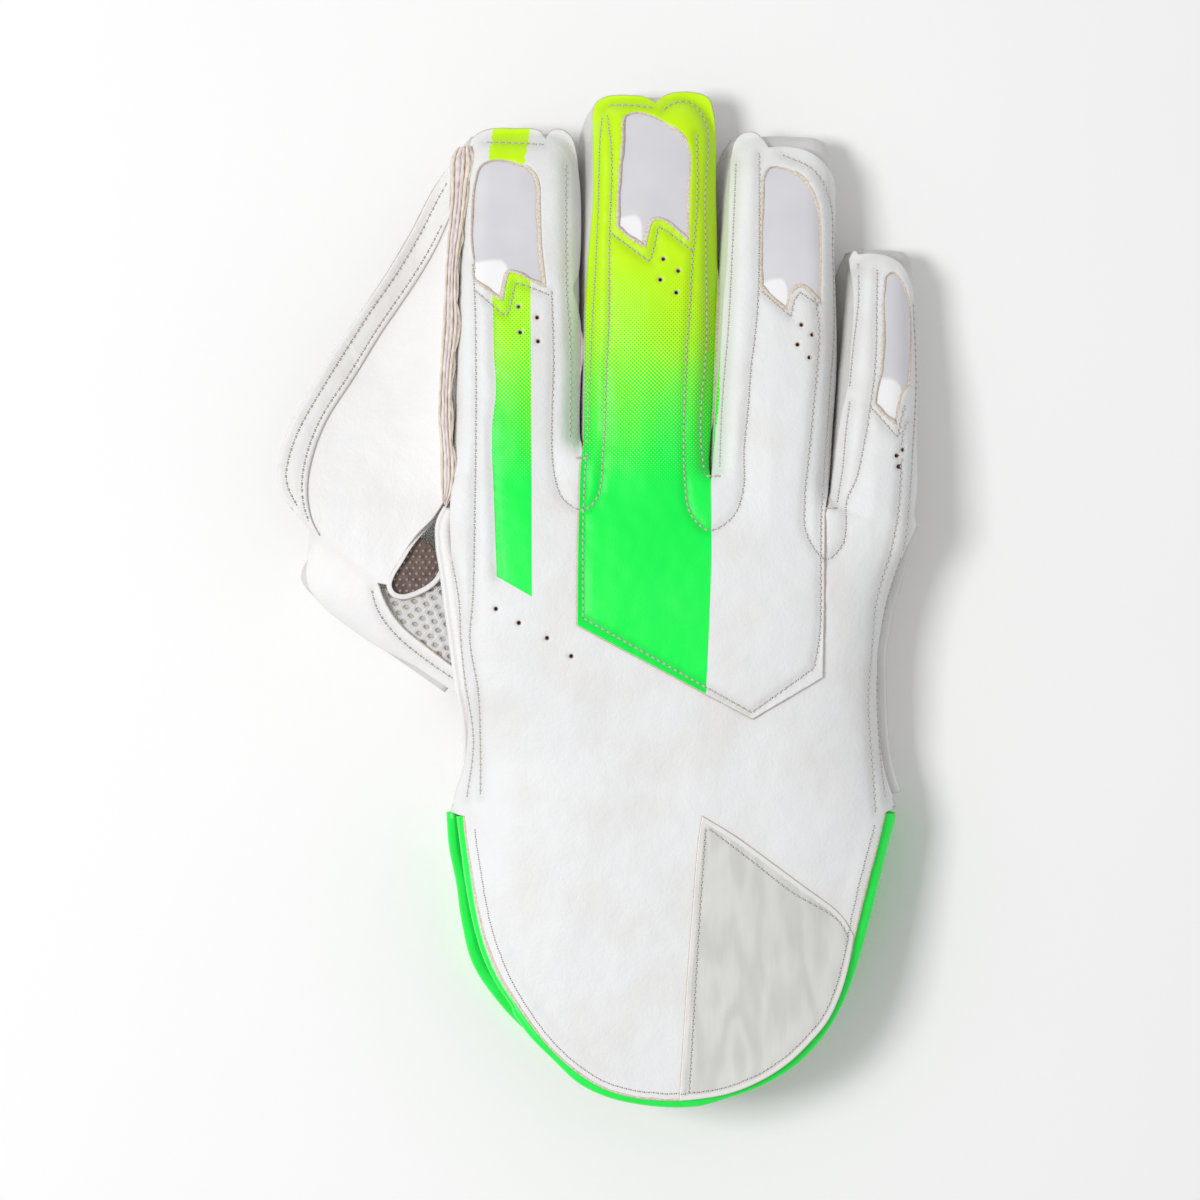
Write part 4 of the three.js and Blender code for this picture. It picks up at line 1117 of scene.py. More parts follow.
def pointing_out(points, sides, caps=()):
    """The faces of a closed solid, turned so that they point out of it."""
    corners = points[np.array(sides)]
    volume = sum((np.cross(corners[:, 0], corners[:, k]) * corners[:, k + 1]).sum() for k in (1, 2))
    faces = [*sides, *caps]
    return faces if volume > 0 else [f[::-1] for f in faces]


def solid(sections):
    """A closed solid through loops of points."""
    sections = np.asarray(sections, float)
    rows, count = sections.shape[:2]
    points = sections.reshape(-1, 3)
    caps = [tuple(reversed(range(count))), tuple((rows - 1) * count + i for i in range(count))]
    return points, pointing_out(points, tube_faces(rows, count), caps)


def sweep(path, shape):
    """Carries a section along a path. shape gives (sideways, up) in mm and may differ from row to row."""
    left, up = sides_of(path)
    shape = np.asarray(shape, float)
    shape = np.broadcast_to(shape, (len(path), *shape.shape[-2:]))
    return solid(path[:, None] + left[:, None] * shape[..., :1] + up[:, None] * shape[..., 1:])


# %% [markdown]
# ## The thumb and the web
# Between the thumb and the index finger hangs the web, one piece of leather with the thumb's back. It starts at the
# index fingertip beside a raw seam, sags a little, and settles on the thumb with only a faint fold where it bends. Its
# height is therefore a blend of two: a sheet spanned between the seam and the hem, and the thumb's own round back.

# %% Height of the web and the thumb's back
seam_left = line(photo(
    (455, 143), (450.5, 152), (449.5, 195), (448, 216), (446, 237), (444, 280), (441.5, 332), (439, 385), (438, 418),
    (440, 441), (441, 482), (442.5, 502),
))
seam_right = line(photo(
    (468, 141), (472, 157), (467, 191), (463.5, 225), (459, 254), (457, 284), (459, 328), (455, 360), (452.6, 385),
    (452.6, 418), (453.5, 441), (456, 471), (454, 490), (446, 508),
))
hem_outer = line(photo(
    (456, 148), (448, 161), (441, 172), (430, 190), (410, 230), (387, 270), (361, 310), (335, 350), (311, 390),
    (289, 430), (280, 458), (279, 478), (281, 492), (292, 509), (308, 529),
))
hem_inner = line(photo(
    (452, 207), (447, 218), (434, 246), (420, 270), (399, 302), (380, 330), (350, 380), (325, 420), (312, 455),
    (307, 485), (308, 505), (312, 522), (319, 536),
))
free_edge = photo((443, 503), (431, 520), (418, 533), (408, 546), (399, 561), (391, 574), (388, 585))
crease_line = line(photo((306, 529), (330, 550), (358, 572), (382, 590)))
thumb_root_top = 31
hand_top = 35.0  # height of the back beside the thumb
tip_top = 18  # height of the web beside the index fingertip
web_sag = 5  # at the middle of its span
fold_way = (0.626, 0.78)  # across the fold, from the thumb to the web


def at_height(path, y):
    """Where a line down the picture is at a height of the plan."""
    order = np.argsort(path[:, 1])
    return np.interp(y, path[order, 1], path[order, 0])


def index_shoulder(y):
    """Height of the index finger's shoulder beside the seam, and of the hand below it."""
    index = fingers["index"]
    root = float(root_line(index["root_x"]))
    along = np.clip((y - root) / (index["tip_y"] - root), 0, 0.96)
    return sleeve_at(index, along)[1] - 3.5


def thumb_height(x, y):
    """Height of the thumb's back in the plan."""
    off_x, off_y = x - thumb["root"][0], y - thumb["root"][1]
    along = (off_x * thumb_way[0] + off_y * thumb_way[1]) / thumb["length"]
    across = np.abs(off_x * thumb_across[0] + off_y * thumb_across[1])
    half, top, _ = sleeve_at(thumb, np.clip(along, 0, 1))
    drop = shoulder_drop(across - (half - shoulder), 0.95)
    return held_up(top + (1 - np.clip(along, 0, 1)) * (1 - np.clip(across / half, 0, 1)) - drop, level=16)


def web_height(x, y):
    """Height of the web, and of the thumb's back below its fold."""
    top_y, length = 209.6, 135.8
    down = np.clip((top_y - y) / length, 0, 1)
    on_thumb = np.clip(down / 0.87, 0, 1)
    hem_x = at_height(hem_outer, y)
    seam_x = at_height(np.concatenate([seam_left, free_edge[1:]]), y)
    share = np.clip((x - hem_x) / np.maximum(seam_x - hem_x, 4), 0, 1)
    outer = tip_top + (thumb_root_top + 1.6 - tip_top) * on_thumb
    inner = index_shoulder(y) + (hand_top - index_shoulder(y)) * ease((down - 0.82) / 0.13)
    sag = 4 * web_sag * share * (1 - share) * np.sin(on_thumb * math.pi)
    spanned = outer + (inner - outer) * share - sag
    beyond = (x - crease_line[0, 0]) * fold_way[0] + (y - crease_line[0, 1]) * fold_way[1]
    over = ease((3 - beyond) / 12)
    on_it = thumb_height(x, y) + 1.7
    lip = (hand_top - on_it) * np.exp(-((np.hypot(x - free_edge[-1, 0] - 3, y - free_edge[-1, 1]) / 9) ** 2))
    return spanned + (on_it + np.maximum(lip, 0) - spanned) * over


# %% The web's leather
thumb_outline = photo(
    (309, 533), (307, 548), (305, 560), (305, 575), (308, 588), (322, 607), (346, 626), (375, 646), (414, 666),
    (440, 683), (464, 698), height=26,
)
net_border = photo((462, 675), (430, 651), (400, 626), (386, 606), (377, 583))
web_ring = outline(
    hem_outer, [hem_outer[-1], thumb_outline[0]], thumb_outline, [thumb_outline[-1], net_border[0]], net_border,
    [net_border[-1], free_edge[-1]], free_edge[::-1], [free_edge[0], seam_left[-1]], seam_left[::-1],
    [seam_left[0], hem_outer[0]],
)
web_seams = {
    "hem_outer": photo(
        (446, 178), (438, 191), (418, 230), (395, 270), (368, 310), (343, 350), (319, 390), (298, 428),
        (287, 460), (285, 478), (288, 490), (296, 505),
    ),
    "hem_inner": photo(
        (441, 221), (428, 245), (413, 270), (373, 330), (344, 378), (320, 416), (306, 452), (301, 483),
        (303, 505), (309, 524),
    ),
    "net_border": photo((371, 589), (377, 610), (395, 635), (425, 660), (454, 680)),
}
for name, points in web_seams.items():
    sewn[name] = line(points)
flat, faces = fill(anticlockwise(web_ring), creases=within(anticlockwise(web_ring), [crease_line]))
web_finder = finder(np.concatenate([sewn[n] for n in web_seams]))
rise, seam = relief(flat, web_finder, swell=0.4, pull=0.3, crease=0.5, seed=4.0)
fold = np.exp(-((distances(flat, finder(crease_line)) / 1.6) ** 2))
web_points = np.column_stack([flat, web_height(flat[:, 0], flat[:, 1]) + rise - 0.45 * fold])
every, all_faces, counts = thicken(web_points, faces, 1.3)
which = np.repeat([0, 1, 2], counts)
mark = np.zeros(len(every))
# The seam mark also rises along the fold, so the finish paints shade into the crease as well as along the seams.
mark[:len(seam)] = np.maximum(seam, 0.4 * fold)
web = build("web_leather", every, all_faces, [web_leather, lining, cut_edge], which, {"seam": mark})
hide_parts("catch_web")

# %% [markdown]
# ## The web's hem
# A strip is folded over the web's outer edge and sewn down twice. It is swept from the rim inwards: its width changes
# along the way, because its inner edge was traced too. That inner edge is cut raw, so it shows a tan line.

# %% Hem
rows = 150
outer_line = picked(hem_outer, rows)
inner_line = picked(hem_inner, rows)
web_tree = BVHTree.FromPolygons([tuple(p) for p in web_points], faces.tolist())


def drop_on(tree, points, above=80):
    """Heights at which points of the plan meet a surface below. A miss gives nan."""
    found = [tree.ray_cast((p[0], p[1], above), (0, 0, -1))[0] for p in points]
    return np.array([hit.z if hit is not None else np.nan for hit in found])


def hem_section(row):
    """The hem's loop at one row: its top, its round rim and its underside."""
    outer, inner = outer_line[row], inner_line[row]
    across = unit((outer - inner)[None])[0]
    width = np.linalg.norm(outer - inner)
    steps = np.linspace(0.02, 0.97, 9)
    plan = inner + (outer - inner) * steps[:, None]
    top = drop_on(web_tree, plan)
    known = ~np.isnan(top)
    top = np.interp(steps, steps[known], top[known]) if known.any() else np.full(9, 18.0)
    puff = 0.85 + 0.25 * np.sin(np.pi * steps) * (0.5 + 0.5 * noise.noise((row * 0.13, 1.7, 0.2)))
    upper = np.column_stack([plan, top + puff])
    rim = [[*(outer + across * o), top[-1] + h] for o, h in ((0.25, 0.55), (0.75, -0.1), (0.8, -0.8), (0.45, -1.6))]
    lower = np.column_stack([plan, top - 2.2])[::-1]
    return np.concatenate([upper, rim, lower])


hem_points, hem_faces = solid([hem_section(row) for row in range(rows)])
section_size = len(hem_points) // rows
raw = [int(all(i % section_size in (0, section_size - 1) for i in f)) for f in hem_faces]
hem_leather = leather("hem_leather", shade(238, 236, 234), shade(233, 230, 228))
hem = build("web_hem_strip", hem_points, hem_faces, [hem_leather, cut_edge], raw)
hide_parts("web_hem")

# %% [markdown]
# ## The raw seam
# Where web and index finger meet, the edges of several layers stand up uncut: two folded strips outside, a pink pair
# of hides between them, pulled together by the seam's thread. The edges wave, more on the finger's side. The section
# is a small mountain range, and each ridge gets its own slow wave.

# %% Raw seam beside the index finger
def seam_finish():
    look = Look("raw_leather")
    layer = look.mark("layer")
    fibre = look.noise(0.9, 3.0, (1, 0.25, 1))
    tan = look.mix(fibre.ramp(0.3, 0.7), shade(244, 237, 226), shade(224, 210, 192))
    pink = look.mix(fibre.ramp(0.35, 0.7), shade(244, 235, 233), shade(228, 212, 208))
    # Dark red-brown for the grooves and slits between the layers: painted shade.
    dark = look.mix(fibre.ramp(0.4, 0.6), shade(190, 162, 148), shade(140, 104, 92))
    colour = look.mix(layer.ramp(0.35, 0.65), tan, pink)
    colour = look.mix(look.mark("groove"), colour, dark)
    look.bump(fibre, 0.7, 0.3)
    return look.done(Base_Color=colour, Roughness=0.88, Specular_IOR_Level=0.25)


raw_leather = seam_finish()
rows = 260
row_step = 0.45  # mm of seam to a row
left_line = picked(seam_left, rows, 0.3)
right_line = picked(seam_right, rows, 0.3)
# The groove column says how much of that painted shade a ridge gets.
ridges = [  # across, height in mm, layer (0 tan, 1 pink), groove
    (0.0, -4.0, 0, 0), (0.0, 1.2, 0, 0), (0.05, 2.0, 0, 0), (0.15, 2.1, 0, 0), (0.2, 1.5, 0, 0.8), (0.24, 1.9, 1, 0),
    (0.38, 2.0, 1, 0), (0.43, 1.6, 1, 0.6), (0.48, 1.9, 1, 0), (0.6, 1.8, 1, 0), (0.65, 1.0, 0, 1), (0.69, 2.0, 0, 0),
    (0.83, 2.3, 0, 0), (0.88, 1.8, 0, 0.7), (0.92, 2.1, 0, 0), (1.0, 1.4, 0, 0), (1.0, -4.0, 0, 0),
]
sections = []
for row in range(rows):
    walked = row * row_step
    low = left_line[row]
    way = right_line[row] - low
    base = float(index_shoulder(low[1])) + 0.9
    loop = []
    for k, (across, high, _, _) in enumerate(ridges):
        wave = 0.035 * noise.noise((walked * 0.35, k * 1.7, 3.0)) + 0.03 * noise.noise((walked * 0.09, k * 0.6, 8.0))
        lift = 0.5 * noise.noise((walked * 0.5, k * 2.3, 5.0)) if 0 < k < len(ridges) - 1 else 0
        if across > 0.9:
            wave += 0.07 * math.sin(walked * 0.45 + 2.0 * noise.noise((walked * 0.1, 0.0, 1.0)))
        loop.append((*(low + way * (across + wave)), base + high + lift))
    sections.append(loop)
seam_points, seam_faces = solid(sections)
marks = {
    "layer": np.tile([r[2] for r in ridges], rows),
    "groove": np.tile([r[3] for r in ridges], rows),
}
raw_seam = build("raw_seam", seam_points, seam_faces, [raw_leather], None, marks)
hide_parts("web_seam")

# %% [markdown]
# ## Net and flap
# Under the web's lower end a knitted net lets air in, and a flap of brown rubber looks out between them. The net has
# real holes, cut while its outline is filled, so light falls through to the cloth behind it. The rubber's pimples are
# little domes joined to the sheet.

# %% Net over the thumb's root
net_ring = anticlockwise(outline(photo(
    (374, 580), (383, 607), (398, 628), (428, 654), (459, 676), (456, 640), (448, 600), (444, 564), (410, 560),
    (374, 580),
)))


def turned(points, angle):
    return points @ np.array([[math.cos(angle), math.sin(angle)], [-math.sin(angle), math.cos(angle)]])


def oval(centre, long, short, turn, count=9):
    """A hole of the net."""
    return centre + turned(circle(np.zeros(2), 1, count) * (long, short), turn)


net_pitch = 3.9
net_turn = math.radians(-14)
net_holes = []
corner = photo((374, 560))[0]
for j in range(-2, 16):
    for i in range(-2, 12):
        local = np.array([(i + 0.5 * (j % 2)) * net_pitch, -j * 0.62 * net_pitch])
        spot = corner + turned(local, net_turn)
        spot = spot + 0.25 * np.array([noise.noise((i * 1.3, j * 1.1, 0.5)), noise.noise((i * 1.3, j * 1.1, 9.5))])
        ring = oval(spot, 1.05, 0.66, net_turn)[::-1]
        if inside(ring, net_ring).all() and distances(spot[None], finder(net_ring))[0] > 1.5:
            net_holes.append(ring)
flat, faces = fill(net_ring, net_holes, pitch=0.8, rim_rows=())
hole_tree = finder(np.concatenate(net_holes))
near_hole = np.exp(-((distances(flat, hole_tree) / 0.5) ** 2))
net_z = thumb_height(flat[:, 0], flat[:, 1]) + 1.25 - 0.35 * near_hole + 0.15 * wrinkles(flat, 0.8, 2.0)
net_points = np.column_stack([flat, net_z])


def net_finish():
    look = Look("net")
    yarn = look.math("SINE", (look.axis("X") * 1.0 + look.axis("Y") * 0.3) * 14.0)
    yarn = yarn * 0.5 + look.noise(1.5, 2.0)
    look.bump(yarn, 0.7, 0.25)
    colour = look.mix(yarn.ramp(-0.2, 0.7), shade(224, 223, 223), shade(246, 245, 245))
    return look.done(Base_Color=colour, Roughness=0.85, Specular_IOR_Level=0.2)


every, all_faces, counts = thicken(net_points, faces, 0.7, bulge=0.05)
net = build("thumb_net", every, all_faces, [net_finish()])
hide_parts("net_gusset")
flat, faces = fill(net_ring, pitch=1.6, rim_rows=())
behind = np.column_stack([flat, thumb_height(flat[:, 0], flat[:, 1]) + 0.35])
every, all_faces, counts = thicken(behind, faces, 0.3, bulge=0.05)
cloth = plain_finish("net_cloth", shade(208, 203, 193), shade(184, 177, 164), 0.95, 1.2)
net_cloth = build("net_cloth", every, all_faces, [cloth])

# %% Pimpled rubber
def rubber_finish():
    look = Look("rubber")
    spots = look.noise(0.5, 3.0)
    colour = look.mix(spots.ramp(0.3, 0.7), shade(122, 102, 95), shade(90, 73, 67))
    # Pimples painted lighter than the sheet between them: a painted highlight on the domes.
    colour = look.mix(look.mark("pimple"), colour, shade(186, 170, 163))
    look.bump(spots, 0.3, 0.2)
    return look.done(Base_Color=colour, Roughness=0.62, Specular_IOR_Level=0.4)


rubber = rubber_finish()


def dome(sides=7):
    """A pimple: points across and up, as shares of its radius and height."""
    levels = ((1, -0.3), (0.8, 0.6), (0.42, 0.93))
    rings = [np.column_stack([circle(np.zeros(2), r, sides), np.full(sides, h)]) for r, h in levels]
    points = np.concatenate([*rings, [[0, 0, 1]]])
    faces = tube_faces(3, sides)
    faces += [(2 * sides + i, 2 * sides + (i + 1) % sides, 3 * sides) for i in range(sides)]
    return points, faces


def pimples(centres, radius, height, side=1):
    """Many domes on the points of a surface, joined. side -1 turns them down."""
    shape, shape_faces = dome()
    scaled = shape * (radius, radius, height * side)
    points = (centres[:, None] + scaled[None]).reshape(-1, 3)
    faces = [tuple(i + n * len(shape) for i in f[::side]) for n in range(len(centres)) for f in shape_faces]
    return points, faces


def pimpled(name, sheet, faces, centres, radius, height, share, side=1):
    """A sheet of rubber with its pimples, as one mesh."""
    extra, extra_faces = pimples(centres, radius, height, side)
    mark = np.concatenate([np.zeros(len(sheet)), np.full(len(extra), share)])
    faces = faces + [tuple(i + len(sheet) for i in f) for f in extra_faces]
    return build(name, np.concatenate([sheet, extra]), faces, [rubber], None, {"pimple": mark})


def lattice(ring, pitch, margin):
    """Places for pimples inside a ring."""
    spots = staggered(ring, pitch)
    return spots[inside(spots, ring) & (distances(spots, finder(ring)) > margin)]


# %% Flap
flap_top, flap_fall = 33.4, 1.4  # mm
flap_edge = photo(
    (441, 552), (437, 548), (433, 550), (430, 544), (426, 545), (424, 538), (420, 539), (418, 532), (414, 537),
)
flap_ring = anticlockwise(np.concatenate([
    flap_edge, line(photo(
        (414, 537), (402, 556), (393, 574), (390, 586), (396, 596), (410, 595), (428, 587), (441, 572),
    )),
]))
flat, faces = fill(flap_ring, pitch=1.0)


def on_flap(plan):
    """Points of the plan on the flap, which falls a little towards the fingers."""
    share = np.clip((plan[:, 1] - flap_ring[:, 1].min()) / np.ptp(flap_ring[:, 1]), 0, 1)
    return np.column_stack([plan, flap_top - flap_fall * share])


every, all_faces, counts = thicken(on_flap(flat), faces, 1.0, bulge=0.15)
centres = on_flap(lattice(flap_ring, 2.1, 0.8)) - (0, 0, 0.05)
flap = pimpled("rubber_flap", every, all_faces, centres, 0.62, 0.7, 0.6)
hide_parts("crotch_flap")

# %% The web's lip round the flap
lip_plan = line(photo(
    (443, 505), (432, 520), (420, 533), (409, 547), (400, 562), (392, 575), (389, 586), (393, 594), (402, 597),
    (414, 594), (428, 587), (436, 580), (441, 571),
), 0.8)
share = np.linspace(0, 1, len(lip_plan))
lip_z = 31.0 + 3.9 * ease(share / 0.4) - 1.6 * ease((share - 0.62) / 0.2)
lip_path = np.column_stack([lip_plan, lip_z])
lip_shape = [
    (-0.95, -0.4), (-0.8, 0.3), (-0.2, 0.55), (0.35, 0.3), (0.5, 0.45), (0.8, 0.1), (0.75, -0.6), (-0.6, -0.8),
]
lip_points, lip_faces = sweep(lip_path, lip_shape)
tan_side = [int(len(f) == 4 and all(i % 8 in (0, 1, 7) for i in f)) for f in lip_faces]
lip = build("web_lip", lip_points, lip_faces, [web_leather, cut_edge], tan_side)

# %% [markdown]
# ## Palm side
# The palm's leather is one wall from the cuff's lower tongue to the finger roots. Nobody sees much of it from above,
# but the glove is picked up and turned over, so it follows the hand's real underside. Below it and below each finger
# lies a pimpled rubber facing, the side that catches.

# %% The palm's tongue
wrist_left_share, wrist_right_share = 0.985, 0.905  # of the hand's half widths


def tongue_x(half):
    """Where a share of a tongue's half width lies, on either side."""
    return half * np.where(half < 0, wrist_left_share * hand_left, wrist_right_share * hand_right)


def drifted(x, along):
    """The palm's tongue has slipped to the thumb's side, and bulges there halfway down."""
    bulge = 3.1 * np.exp(-(((along - 0.56) / 0.18) ** 2)) * np.clip(-x / 25, 0, 1)
    return x - 1.6 * np.clip(along * 5, 0, 1) - bulge


# %% Palm leather
palm_hide = 2.6
spread = np.sin(np.linspace(-math.pi / 2, math.pi / 2, 57))
end = tongue_rows["along"][-1]
palm_rows = []
for along in 1 - np.linspace(0, 1, 44) ** 0.8:
    half = read_table([0, *tongue_rows["along"]], [0.995, *tongue_rows["palm"]], min(along, end))
    here = 1 - (1 - end) * spread**2 if along > end else np.full(len(spread), along)
    x = tongue_x(spread * half)
    z = hand_height(x, np.full(len(x), -1.0), -1)
    palm_rows.append(np.column_stack([drifted(x, here), -here * palm_tongue, z]))
for along in np.linspace(0, 0.997, 40)[1:]:
    row = rows_at(hand_rows, along)
    x = spread * np.where(spread < 0, row["left"] * hand_left, row["right"] * hand_right)
    y = along * root_line(x)
    palm_rows.append(np.column_stack([x, y, hand_height(x, y, -1)]))
palm_grid = np.array(palm_rows)
columns = len(spread)
faces = np.array([
    (r * columns + c, (r + 1) * columns + c, (r + 1) * columns + c + 1, r * columns + c + 1)
    for r in range(len(palm_rows) - 1) for c in range(columns - 1)
])
palm_points = palm_grid.reshape(-1, 3)
every, all_faces, counts = thicken(palm_points, faces, palm_hide, bulge=0.1)
palm = build("palm_wall", every, all_faces, [palm_leather, lining, cut_edge], np.repeat([0, 1, 2], counts))
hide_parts("hand_palm")

# %% Lining inside the back
inner_left, inner_right = left_side + (hide, 0), right_side - (hide, 0)
lining_ring = anticlockwise(outline(
    inner_left[::-1], [inner_left[0], cuff_edge[0]], cuff_edge, [cuff_edge[-1], inner_right[0]],
    inner_right, [inner_right[-1], inner_left[-1]], step=1.6,
))
flat, faces = fill(lining_ring, pitch=2.4, rim_rows=())
back_inside = np.column_stack([flat, hand_height(flat[:, 0], flat[:, 1]) - 1.5])
every, all_faces, counts = thicken(back_inside, faces, 1.2)
back_lining = build("back_lining", every, all_faces, [lining])

# %% [markdown]
# ## Rubber facings
# Each facing is a thin sheet of rubber under the leather, with pimples on its lower side. The glove lies on those
# pimples. The sheet is thinner than the solid's by the height of a pimple, so the two stand on the same floor.

# %% Facings under palm and fingers
under_leather = 0.3
rubber_sheet = 0.85


def palm_under(plan):
    return hand_height(plan[:, 0], plan[:, 1], -1) - under_leather


def facing(name, node, ring, under):
    """A pimpled sheet below a surface, given as a function of the plan."""
    ring = anticlockwise(ring)
    flat, faces = fill(ring, pitch=2.6, rim_rows=())
    top = np.column_stack([flat, under(flat)])
    every, all_faces, counts = thicken(top, faces, rubber_sheet, bulge=0.1)
    spots = lattice(ring, 2.2, 0.7)
    centres = np.column_stack([spots, under(spots) - 0.8])
    piece = pimpled(name, every, all_faces, centres, 0.5, 0.58, 0.5, side=-1)
    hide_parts(node)


palm_ring = []
for side, half, walk in (("right", hand_right, (0.06, 0.985)), ("left", -hand_left, (0.985, 0.06))):
    for along in np.linspace(*walk, 20):
        x = flat_share * rows_at(hand_rows, along)[side] * half
        palm_ring.append((x, along * root_line(x)))
facing("palm_rubber", "palm_facing", np.array(palm_ring), palm_under)
facing_rows = 12
for name, finger in {**fingers, "thumb": thumb}.items():
    maker = thumb_ring if name == "thumb" else finger_ring
    left_run, right_run = [], []
    for along in np.linspace(0.3 if name == "thumb" else 0.03, 0.9, facing_rows):
        loop = maker(finger, along, 0.0)
        lowest = loop[loop[:, 2] < loop[:, 2].min() + 0.06]
        if name == "thumb":
            across = (lowest[:, :2] - thumb["root"]) @ thumb_across
        else:
            across = lowest[:, 0]
        left_run.append(lowest[across.argmin()])
        right_run.append(lowest[across.argmax()])
    run = np.array(left_run + right_run[::-1])

    def under(plan, side=run[:facing_rows]):
        way = unit((side[-1] - side[0])[None, :2])[0]
        walked = (side[:, :2] - side[0, :2]) @ way
        return np.interp((plan - side[0, :2]) @ way, walked, side[:, 2]) - under_leather

    facing(f"{name}_rubber", f"{name}_facing", run[:, :2], under)

# %% [markdown]
# ## Green edging
# Both tongues end in a glossy plastic strip, folded round the leather's edge. The upper tongue's white leather laps
# over the strip's inner half, so its raw edge lies on the green. The lower tongue sits a little further towards the
# thumb, and its strip looks out beside the upper one.

# %% Edgings
def palm_tongue_edge():
    """The edge of the palm's tongue, from the thumb side of the wrist round its end."""
    rows = list(zip(tongue_rows["along"], tongue_rows["palm"]))
    end, last = rows[-1]
    edge = [(-half, along) for along, half in rows]
    edge += [(share * last, 1 - (1 - end) * share**2) for share in (-0.5, 0, 0.5)]
    edge += [(half, along) for along, half in reversed(rows)]
    half, along = np.array(edge).T
    return line(np.column_stack([drifted(tongue_x(half), along), -along * palm_tongue]))


def edging_finish():
    look = Look("green_edging")
    streak = look.noise(0.12, 2.0)
    look.bump(look.noise(0.5, 2.0), 0.06, 0.2)
    colour = look.mix(streak.ramp(0.3, 0.7), shade(0, 255, 84), shade(0, 246, 72))
    return look.done(Base_Color=colour, Roughness=0.28, Coat_Weight=0.35, Coat_Roughness=0.12)


green_edging = edging_finish()
tucked_in = 3.6  # mm of the strip on the leather
back_lip = [
    (-3.6, -0.7), (-1.2, -0.6), (0, -0.35), (0.3, -0.15), (0.6, -0.3), (0.85, -0.8), (0.98, -1.5), (1, -2.2),
    (0.92, -2.9), (0.6, -3.4), (0, -3.7), (-3.6, -3.6), (-3.6, -3.0), (-0.2, -3.0), (0.1, -2.2), (-0.2, -1.25),
    (-3.6, -1.25),
]
palm_lip = [
    (-3.6, 3.0), (0, 2.9), (0.4, 2.7), (0.8, 2.1), (0.98, 1.3), (1, 0.5), (0.9, -0.2), (0.5, -0.6), (0, -0.65),
    (-3.6, -0.5), (-3.6, -0.1), (-0.2, -0.1), (0.1, 0.9), (0.1, 1.8), (-0.2, 2.5), (-3.6, 2.5),
]


def tongue_edging(name, plan, outer, side, node, shape):
    """A strip along a tongue's edge. In its section 0 is the leather's edge and 1 the strip's outer edge."""
    ahead = unit(np.gradient(plan, axis=0))
    outward = np.column_stack([ahead[:, 1], -ahead[:, 0]])
    tree = finder(outer)
    width = np.clip(distances(plan, tree), 1.2, 5)

    def on_leather(points):
        return np.column_stack([points, hand_height(points[:, 0], np.full(len(points), -1.0), side)])

    edge = on_leather(plan)
    inset = np.full(len(plan), tucked_in)
    for _ in range(8):
        inner = on_leather(plan - outward * inset[:, None])
        inset = inset * tucked_in / np.linalg.norm(edge - inner, axis=1)
    into = unit(inner - edge)
    fall = np.clip((inner[:, 2] - edge[:, 2]) / np.maximum(inset, 0.5), -0.5, 0.7)
    out = np.column_stack([outward * width[:, None], -0.7 * fall * width])
    normal = unit(np.cross(unit(out), np.column_stack([ahead, np.zeros(len(plan))])))
    normal *= np.where(normal[:, 2] < 0, -1, 1)[:, None]
    shape = np.array(shape)
    tucked = np.clip(-shape[:, 0], 0, None)
    shown = np.clip(shape[:, 0], 0, None)
    sections = edge[:, None] + into[:, None] * tucked[:, None] + out[:, None] * shown[:, None]
    sections = sections + normal[:, None] * shape[:, 1:]
    points, faces = solid(sections)
    strip = build(name, points, faces, [green_edging])
    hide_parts(node)
    print(name, "is", width.min().round(1), "to", width.max().round(1), "mm wide")


green_outer = line(photo_on_hand(
    (446, 816), (454, 862), (463.6, 910), (470, 947), (478, 969), (489, 987), (503, 1005), (514.6, 1018),
    (527.6, 1036), (551.5, 1060), (577.5, 1084), (603.5, 1097), (636, 1105), (673, 1108.6), (700, 1107),
    (725, 1100), (764, 1086), (799, 1064), (825, 1036), (844.4, 1003), (857.4, 969), (871.5, 919), (885.6, 862),
    (898.6, 812.5),
))
upper_left = line(photo_on_hand(
    (454, 816), (458, 850), (466, 901), (474, 936), (482, 960), (493, 982), (510, 1007),
))
far_side = green_outer[green_outer[:, 0] > photo((512, 1000))[0, 0]]
back_outer = np.concatenate([upper_left, far_side])
tongue_edging("upper_edging", line(cuff_edge), back_outer, 1, "back_cuff_binding", back_lip)
palm_plan = palm_tongue_edge()
away = unit(np.gradient(palm_plan, axis=0))
palm_outer = palm_plan + np.column_stack([away[:, 1], -away[:, 0]]) * 2.6
tongue_edging("lower_edging", palm_plan, palm_outer, -1, "palm_cuff_binding", palm_lip)
print("lower edging starts at", palm_outer[0].round(1), "and in the picture at", green_outer[0].round(1))

# %% [markdown]
# ## Raw window edges
# Each window is cut with a knife, and its edge shows the hide's cream inside, folded down a little towards the guard.
# It is a closed hoop swept along the window's outline, laid on the leather by ray casts.

# %% Hoops round the windows
def surface_tree(*names):
    """All the points and faces of finished pieces, in millimetres, for ray casts."""
    points, faces = [], []
    for name in names:
        mesh = pieces[name].data
        first = len(points)
        points += [tuple(c / mm - s for c, s in zip(v.co, shift)) for v in mesh.vertices]
        faces += [tuple(i + first for i in p.vertices) for p in mesh.polygons]
    return BVHTree.FromPolygons(points, faces)


def all_heights(found):
    """Heights with each miss filled in between its neighbours."""
    spots = np.arange(len(found))
    known = ~np.isnan(found)
    return np.interp(spots, spots[known], found[known])


def hoop(sections):
    """A closed ring of loops of points."""
    rows, count = sections.shape[:2]
    faces = []
    for r in range(rows):
        low, high = r * count, (r + 1) % rows * count
        faces += [(low + i, low + (i + 1) % count, high + (i + 1) % count, high + i) for i in range(count)]
    points = sections.reshape(-1, 3)
    return points, pointing_out(points, faces)


